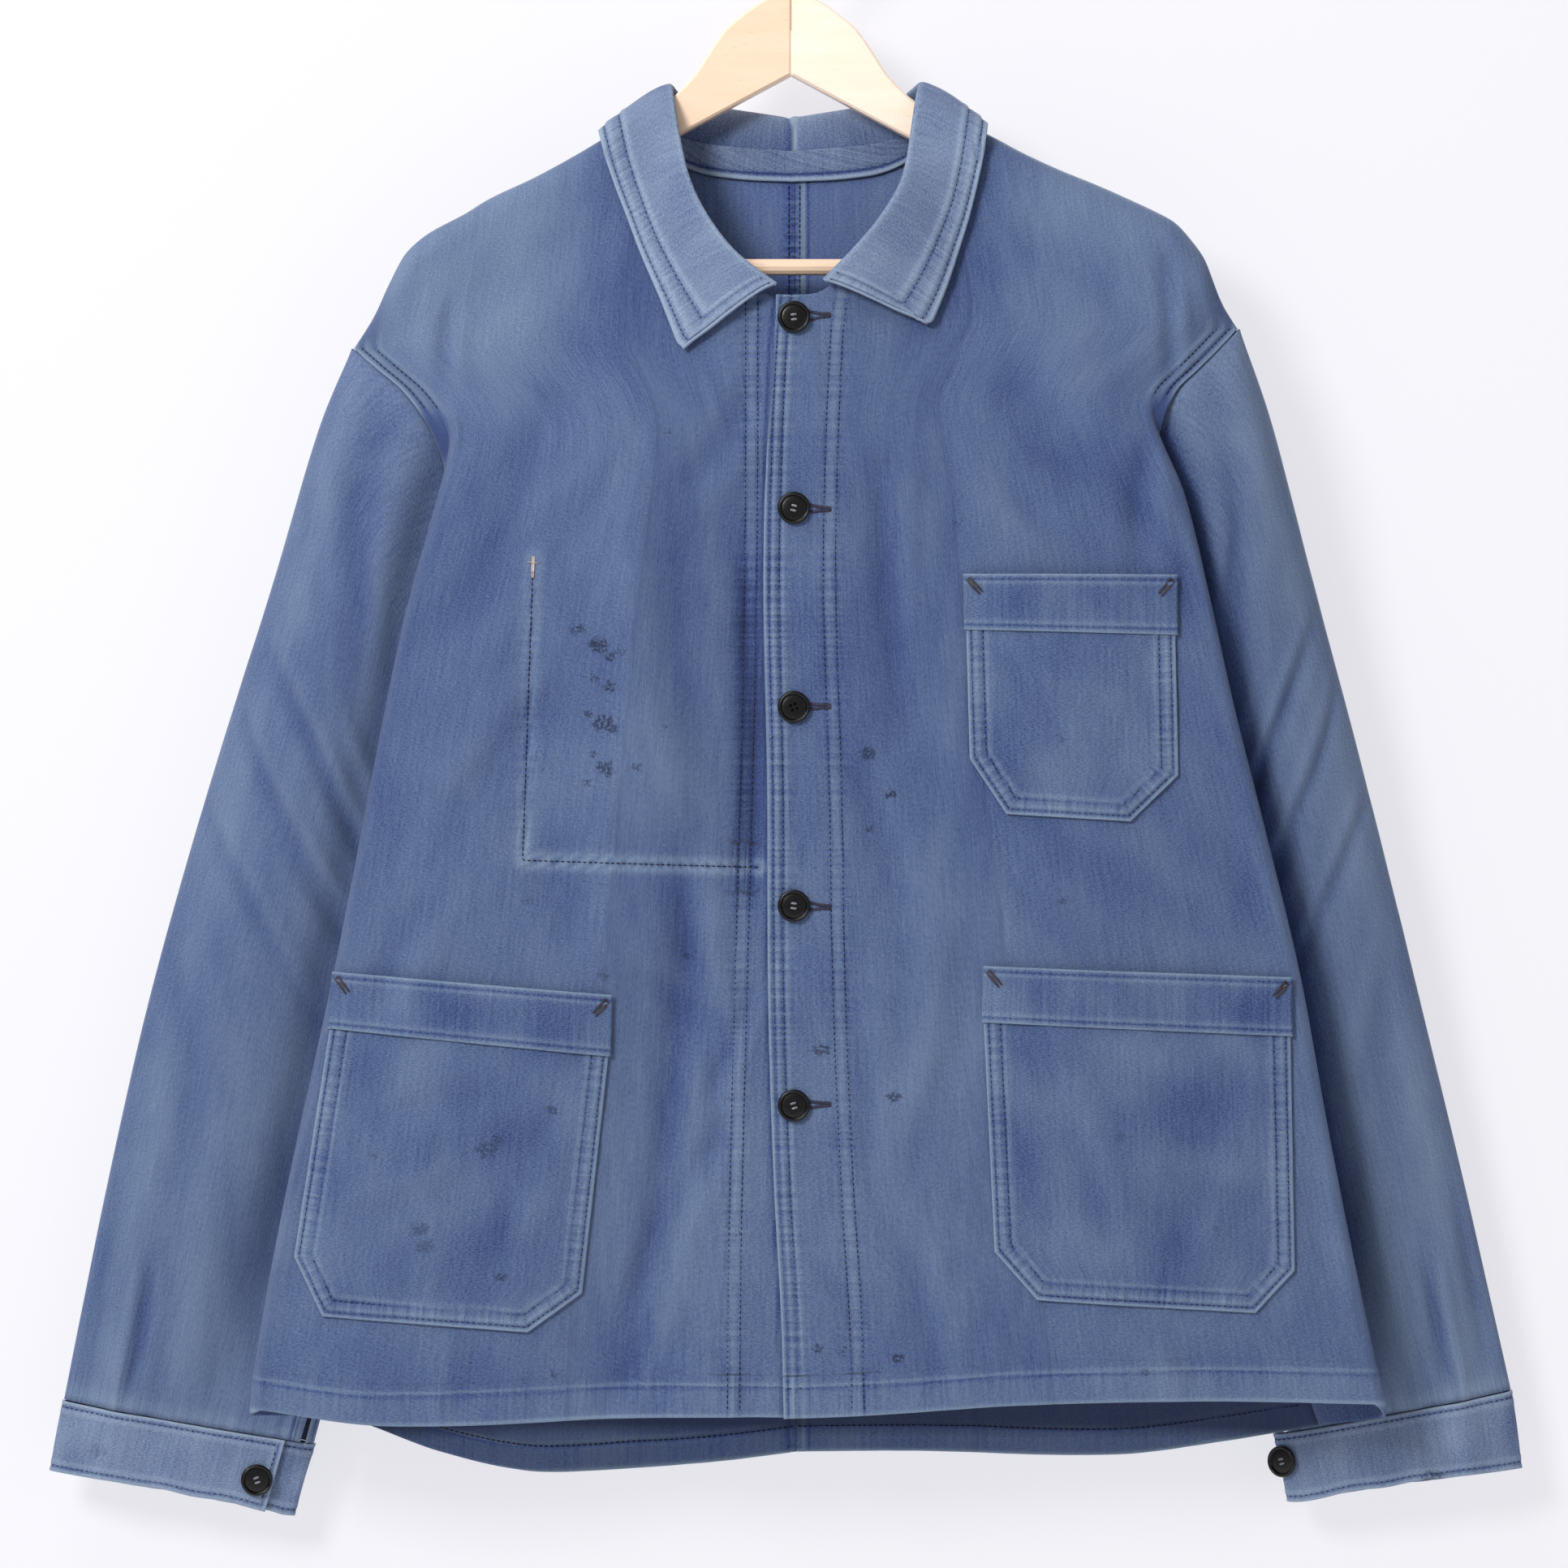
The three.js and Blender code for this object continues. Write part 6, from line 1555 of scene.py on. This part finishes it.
    @staticmethod
    def on_pocket(pocket, x, z):
        """Points on the bag's face: across and place are found from x and z by going down its rows."""
        place = np.zeros_like(x) + 1.5
        for _ in range(40):
            inner_x, inner_z = along_corners(pocket["inner"], place)
            outer_x, outer_z = along_corners(pocket["outer"], place)
            across = np.clip((x - inner_x) / (outer_x - inner_x), 0, 1)
            place = np.clip(place + (lerp(inner_z, outer_z, across) - z) / 80, 0.03, 2.999)
        return xyz(x, pocket_surface(pocket, across, place)[:, 1] - 0.12, z)

    @staticmethod
    def on_welt(side, inset):
        """Points down a front beside its armhole seam: how far down each is comes from halving."""
        z = np.linspace(side["shoulderTip"] + 1, side["foldTop"] + 2, 40)
        start_x = along(side["fold"], "z", z, "x") - FOLD_RADIUS
        seam_x = along(side["seam"], "z", z, "x")
        u = np.clip(4 - 2 * inset / np.maximum(seam_x - start_x, inset), 2.01, 3.99)
        low, high = np.zeros(40), np.ones(40)
        for _ in range(16):
            middle = (low + high) / 2
            above = front_point(side, u, middle)[:, 2] > z
            low, high = np.where(above, middle, low), np.where(above, high, middle)
        return front_point(side, u, low)

    @staticmethod
    def collar_row(seams, s, t):
        base = collar_surface(s, t, DOUBLE_CLOTH / 2 + 0.1)
        seams.row(base, base - collar_surface(s, t, 0))

    @staticmethod
    def buttonholes():
        """Each is two rows of close stitches round a slit, from the button's shank to the right."""
        holes = Seams()
        left = SIDES["left"]
        for n, z0 in enumerate(BUTTON_HEIGHTS):
            tilt = (0.06, -0.03, 0.02, -0.04, 0.03)[n]
            spread = (2.0, 1.6, 0.9, 1.6, 1.3)[n]  # how far each hole gapes at its button's shank
            t = np.linspace(0, 1, 34)
            x = lerp(-2, 20.5, t)
            for way in (-1, 1):
                z = z0 + tilt * x + way * lerp(0.7 + spread, 0.8, smooth(t, 0.42, 0.92))
                base = on_front(left, x, z, 0.2)
                for k, point in enumerate(base):
                    lean = np.array([0.25 * math.sin(k * 2.3 + n), 0, 1.0])
                    ends = np.stack([point - lean * 0.85, point + lean * 0.85])
                    holes.row(ends, FORWARD, pitch=1.7, length=2.0, width=0.8, sink=-0.1)
            x = np.zeros(3) + 20.8
            z = z0 + tilt * 20.8 + np.array([-1.4, 0, 1.4])
            for k in range(4):
                across = on_front(left, x + 0.35 * k, z, 0.35)
                holes.row(across, FORWARD, pitch=2.8, length=2.8, width=0.6, sink=0)
        for name, side in SIDES.items():
            angle0, down0 = side["cuffButton"]["angle"], side["cuffButton"]["down"]
            for k in range(18):
                angle = angle0 + 0.03 + 0.012 * k
                for way in (-1, 1):
                    down = down0 + way * np.array([0.02, 0.055])
                    flat = np.zeros(2) + min(angle, side["flapEnd"] - 0.05)
                    holes.row(
                        cuff_surface(side, flat, down, 0.25), cuff_outward(side, flat),
                        pitch=1.6, length=1.6, width=0.6, sink=0,
                    )
        twist = worn_thread("worn_buttonhole_twist", 0.5, "#100e18", "#3d3a54", 0.75)
        holes.make("buttonholes", twist, "moleskin")

    @staticmethod
    def bar_tacks():
        """Short dense bars of worn thread at the pockets' top corners, pale at the inner pocket's."""
        tacks = Seams()
        for pocket in POCKETS.values():
            corners = pocket_outline(pocket, 0)
            width = abs(corners[-1, 0] - corners[0, 0])
            for end in (0, 1):
                for k in range(6):
                    off = (k - 2.5) * 0.45
                    across = np.abs(end - np.array([2.5 + off, 9.5 + off + 0.3 * (k % 2)]) / width)
                    place = np.array([2.6 - off, 10.6 - off + 0.5 * (k % 3)]) / BAND_DEPTH
                    row = pocket_surface(pocket, across, place, True)
                    tacks.row(row + FORWARD * 0.55, FORWARD, pitch=11, length=11, width=0.62, sink=0)
        pale = Seams()
        for k in range(4):
            x, z = np.array([-143.6, -143.9]) + 0.4 * k, np.array([-368.0 - k, -381.0 + k])
            pale.row(on_front(SIDES["right"], x, z, 0.7), FORWARD, pitch=11, length=12, width=0.55, sink=0)
        cross = on_front(SIDES["right"], np.array([-146.5, -139.5]), np.array([-371.5, -372.5]), 1.0)
        pale.row(cross, FORWARD, pitch=7, length=6, width=0.5, sink=0)
        for held, name, dark, light in (
            (tacks, "bar_tacks", "#1e1a22", "#4f484e"), (pale, "pale_tack", "#a89a92", "#d8cabb"),
        ):
            held.make(name, worn_thread(f"worn_thread_of_{name}", 0.6, dark, light, 0.8), "moleskin")


class SewButtons(bpy.types.Operator):
    """Makes the four-holed buttons and the thread that holds each"""

    bl_idname = "jacket.buttons"
    bl_label = "Buttons"

    def execute(self, context):
        plastic = black_plastic(colours().button)
        pale_thread = worn_thread("pale_button_thread", 1.0, "#3a3b42", "#b9bcc4", 0.85)
        held = Seams()
        left = SIDES["left"]
        for i, z in enumerate(BUTTON_HEIGHTS):
            near = np.array([-8.0, 0, 8])
            depth = min(front_depth(left, np.zeros(3) + CLOSING_X, z + near)) - GAP
            spin = (0.1, -0.25, 0.4, -0.1, 0.3)[i]
            self.button(f"button_{i + 1}", Vector((CLOSING_X, depth - 0.6, z)), 0.0, spin, plastic, held)
        for name, side in SIDES.items():
            angle, down = side["cuffButton"]["angle"], side["cuffButton"]["down"]
            out = cuff_outward(side, np.array(angle))
            where = cuff_surface(side, np.array([angle]), np.array([down]), GAP * 2)[0]
            self.button(f"cuff_button_{name}", Vector(where), math.asin(out[0]), 0.3, plastic, held)
        held.make("button_thread", pale_thread, "black_plastic")
        return {"FINISHED"}

    @staticmethod
    def button(name, where, turn, spin, plastic, held):
        """A moulded disc with a raised rim round a dished middle, and four holes through it."""
        shape = bmesh.new()
        # Radius and height of its section, from the middle of its face round its rim to its back.
        profile = [
            (0, 1.9), (3.0, 1.9), (5.4, 1.85), (6.2, 1.7), (6.6, 1.6), (6.85, 1.9), (7.1, 2.5), (7.5, 2.9),
            (8.0, 3.0), (8.5, 2.8), (8.85, 2.3), (9.0, 1.7), (8.9, 1.0), (8.4, 0.4), (7.4, 0.1), (5.0, 0),
            (0, 0),
        ]
        verts = [shape.verts.new((r, 0, h)) for r, h in profile]
        edges = [shape.edges.new(pair) for pair in zip(verts[:-1], verts[1:])]
        bmesh.ops.spin(
            shape, geom=verts + edges, cent=(0, 0, 0), axis=(0, 0, 1), angle=2 * math.pi, steps=40,
            use_merge=True,
        )
        bmesh.ops.remove_doubles(shape, verts=shape.verts, dist=1e-4)
        bmesh.ops.recalc_face_normals(shape, faces=shape.faces)
        place = Matrix.Translation(where)
        for angle, axis in ((turn, "Z"), (math.pi / 2, "X"), (spin, "Z")):
            place = place @ Matrix.Rotation(angle, 4, axis)
        holes = bmesh.new()
        for a, b in ((1, 1), (-1, 1), (-1, -1), (1, -1)):
            bmesh.ops.create_cone(
                holes, cap_ends=True, segments=16, radius1=0.8, radius2=0.8, depth=6,
                matrix=Matrix.Translation((a * HOLE_OFFSET, b * HOLE_OFFSET, 1)),
            )
        metres = Matrix.Scale(MM, 4)
        meshes = []
        for part, label in ((shape, name), (holes, name + "_holes")):
            part.transform(metres @ place)
            meshes.append(add_object(label + "_moulding", mesh_from(part, label)))
        piece, cutter = meshes
        cut = piece.modifiers.new("Holes", "BOOLEAN")
        cut.object, cut.solver = cutter, "EXACT"
        with bpy.context.temp_override(object=piece, active_object=piece, selected_objects=[piece]):
            bpy.ops.object.modifier_apply(modifier=cut.name)
        bpy.data.objects.remove(cutter)
        piece.data.shade_smooth()
        piece.data.set_sharp_from_angle(angle=math.radians(40))
        finish_piece(piece, plastic, "black_plastic", name)
        if name == UNTHREADED:
            return
        out = np.array(place.to_3x3() @ Vector((0, 0, 1)))
        for b in (HOLE_OFFSET, -HOLE_OFFSET):
            for shift in (-0.3, 0, 0.3):
                ends = [np.array(place @ Vector((a, b + shift, 2.0))) for a in (-1.7, 1.7)]
                held.row(np.stack(ends), out, pitch=3.4, length=3.3, width=0.5, sink=0)


class DressHanger(bpy.types.Operator):
    """Gives the wooden arms, the bar and the wire hook their finish"""

    bl_idname = "jacket.hanger"
    bl_label = "Hanger"

    def execute(self, context):
        paint = colours()
        # The left arm takes the lit, paler copy of the beech: painted light on its face.
        planks = {"arm_left": paint.lit_beech, "arm_right": paint.wood, "bar": paint.wood}
        for name, colour in planks.items():
            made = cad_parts[f"hanger_{name}"]
            made.data.materials.clear()
            made.data.materials.append(beech(f"varnished_beech_hanger_{name}", colour))
        self.hook(plated_wire(paint.wire))
        return {"FINISHED"}

    @staticmethod
    def hook(wire):
        """The wire's middle line runs up out of the wood and round, with its inside top at the origin."""
        centre = -(HOOK_RADIUS - WIRE_RADIUS)
        route = [(0, 0, -70), (0, 0, -56), (0.5, 0, -46), (5, 0, centre - HOOK_RADIUS + 0.6)]
        for degrees in [-50, -25, 0, 25, 50, 75, 100, 125, 150, 175, 195]:
            angle = math.radians(degrees)
            route.append((HOOK_RADIUS * math.cos(angle), 0, centre + HOOK_RADIUS * math.sin(angle)))
        curve = bpy.data.curves.new("hanger_hook_wire", "CURVE")
        curve.dimensions = "3D"
        spline = curve.splines.new("BEZIER")
        spline.bezier_points.add(len(route) - 1)
        for point, place in zip(spline.bezier_points, route):
            point.co = Vector(place) * MM
            point.handle_left_type = point.handle_right_type = "AUTO"
        curve.bevel_depth = WIRE_RADIUS * MM
        curve.bevel_resolution = 6
        curve.use_fill_caps = True
        finish_piece(add_object("hanger_hook_wire", curve), wire, "steel_wire", "hanger_hook")


class SetStage(bpy.types.Operator):
    """Makes the pale wall and floor, the lights and the camera"""

    bl_idname = "jacket.stage"
    bl_label = "Stage"

    def execute(self, context):
        scene = context.scene
        self.wall()
        middle = (0, 0, -0.45)
        for name, place, aim, size, power in (
            ("key", (-1.45, -2.4, 0.8), middle, 0.8, 68),
            ("fill", (2.0, -2.4, 0.0), middle, 1.6, 6),
            ("top", (-0.7, -0.9, 1.3), (-0.1, 0, -0.3), 0.9, 12),
            ("behind", (0.3, 2.6, 0.6), middle, 1.8, 30),
        ):
            lamp = bpy.data.lights.new(name, "AREA")
            lamp.energy, lamp.size = power, size
            holder = add_object(name, lamp)
            holder.location = place
            holder.rotation_euler = (Vector(aim) - Vector(place)).to_track_quat("-Z", "Y").to_euler()
        world = scene.world or bpy.data.worlds.new("studio")
        scene.world = world
        world.use_nodes = True
        backdrop = world.node_tree.nodes["Background"]
        backdrop.inputs["Color"].default_value = (0.97, 0.97, 1.0, 1)
        backdrop.inputs["Strength"].default_value = 0.24
        scene.view_settings.view_transform = "Standard"
        lens = bpy.data.cameras.new("camera")
        lens.sensor_width = 36
        # The frame spans 869.4 mm at the jacket's front, 3 m away.
        lens.lens = lens.sensor_width * 3000 / 869.4
        camera = add_object("camera", lens)
        camera.location = (-4.05 * MM, -3.05, -494.7 * MM)
        camera.rotation_euler = (math.pi / 2, 0, 0)
        scene.camera = camera
        return {"FINISHED"}

    @staticmethod
    def wall():
        """A sheet of card that curves from the wall into the floor, seen from its front alone."""
        depth = sizes().wall_gap
        shape = bmesh.new()
        bend, foot = 0.3, -1.2
        profile = [(depth, 2.0), (depth, foot)]
        for a in np.linspace(0, 1.57, 16)[1:]:
            profile.append((depth - bend * (1 - math.cos(a)), foot - bend * math.sin(a)))
        profile.append((-4.0, foot - bend))
        verts = [shape.verts.new((-3, y, z)) for y, z in profile]
        edges = [shape.edges.new(pair) for pair in zip(verts[:-1], verts[1:])]
        made = bmesh.ops.extrude_edge_only(shape, edges=edges)
        moved = [v for v in made["geom"] if isinstance(v, bmesh.types.BMVert)]
        bmesh.ops.translate(shape, verts=moved, vec=(6, 0, 0))
        mesh = mesh_from(shape, "backdrop")
        mesh.shade_smooth()
        if mesh.polygons[0].normal.y > 0:
            mesh.flip_normals()
        piece = add_object("backdrop", mesh)
        material, tree = new_material("matt_card")
        set_surface(
            material, Roughness=0.95, Specular_IOR_Level=0.1, Base_Color=(0.25, 0.25, 0.26, 1),
            Emission_Color=rgba(colours().backdrop), Emission_Strength=0.72,
        )
        # Unseen from behind and without a shadow, so that the back can be looked at and is lit.
        behind = node(tree, "NewGeometry", out="Backfacing")
        shadow = node(tree, "LightPath", out="Is Shadow Ray")
        clear = node(tree, "Math", behind, shadow, operation="MAXIMUM")
        card = tree.nodes["Principled BSDF"].outputs[0]
        both = node(tree, "MixShader", clear, card, node(tree, "BsdfTransparent"))
        tree.links.new(both, tree.nodes["Material Output"].inputs["Surface"])
        piece.data.materials.append(material)


class JacketPanel(bpy.types.Panel):
    bl_idname = "VIEW3D_PT_chore_jacket"
    bl_label = "Chore Jacket"
    bl_space_type = "VIEW_3D"
    bl_region_type = "UI"
    bl_category = "Chore Jacket"

    def draw(self, context):
        for group in (context.scene.jacket_sizes, context.scene.jacket_colours):
            box = self.layout.box()
            for key in group.__annotations__:
                box.prop(group, key)
        for operator in OPERATORS:
            self.layout.operator(operator.bl_idname)


OPERATORS = (
    SetStage, DressFronts, DressBack, DressSleeves, DressCuffs, DressCollar, DressPockets, SewButtons,
    SewSeams, DressHanger,
)
CLASSES = (JacketSizes, JacketColours, *OPERATORS, JacketPanel)


def register():
    for made in CLASSES:
        bpy.utils.register_class(made)
    bpy.types.Scene.jacket_sizes = bpy.props.PointerProperty(type=JacketSizes)
    bpy.types.Scene.jacket_colours = bpy.props.PointerProperty(type=JacketColours)


def unregister():
    del bpy.types.Scene.jacket_colours
    del bpy.types.Scene.jacket_sizes
    for made in reversed(CLASSES):
        bpy.utils.unregister_class(made)


def main():
    register()
    for operator in OPERATORS:
        group, name = operator.bl_idname.split(".")
        getattr(getattr(bpy.ops, group), name)()


if __name__ == "__main__":
    main()
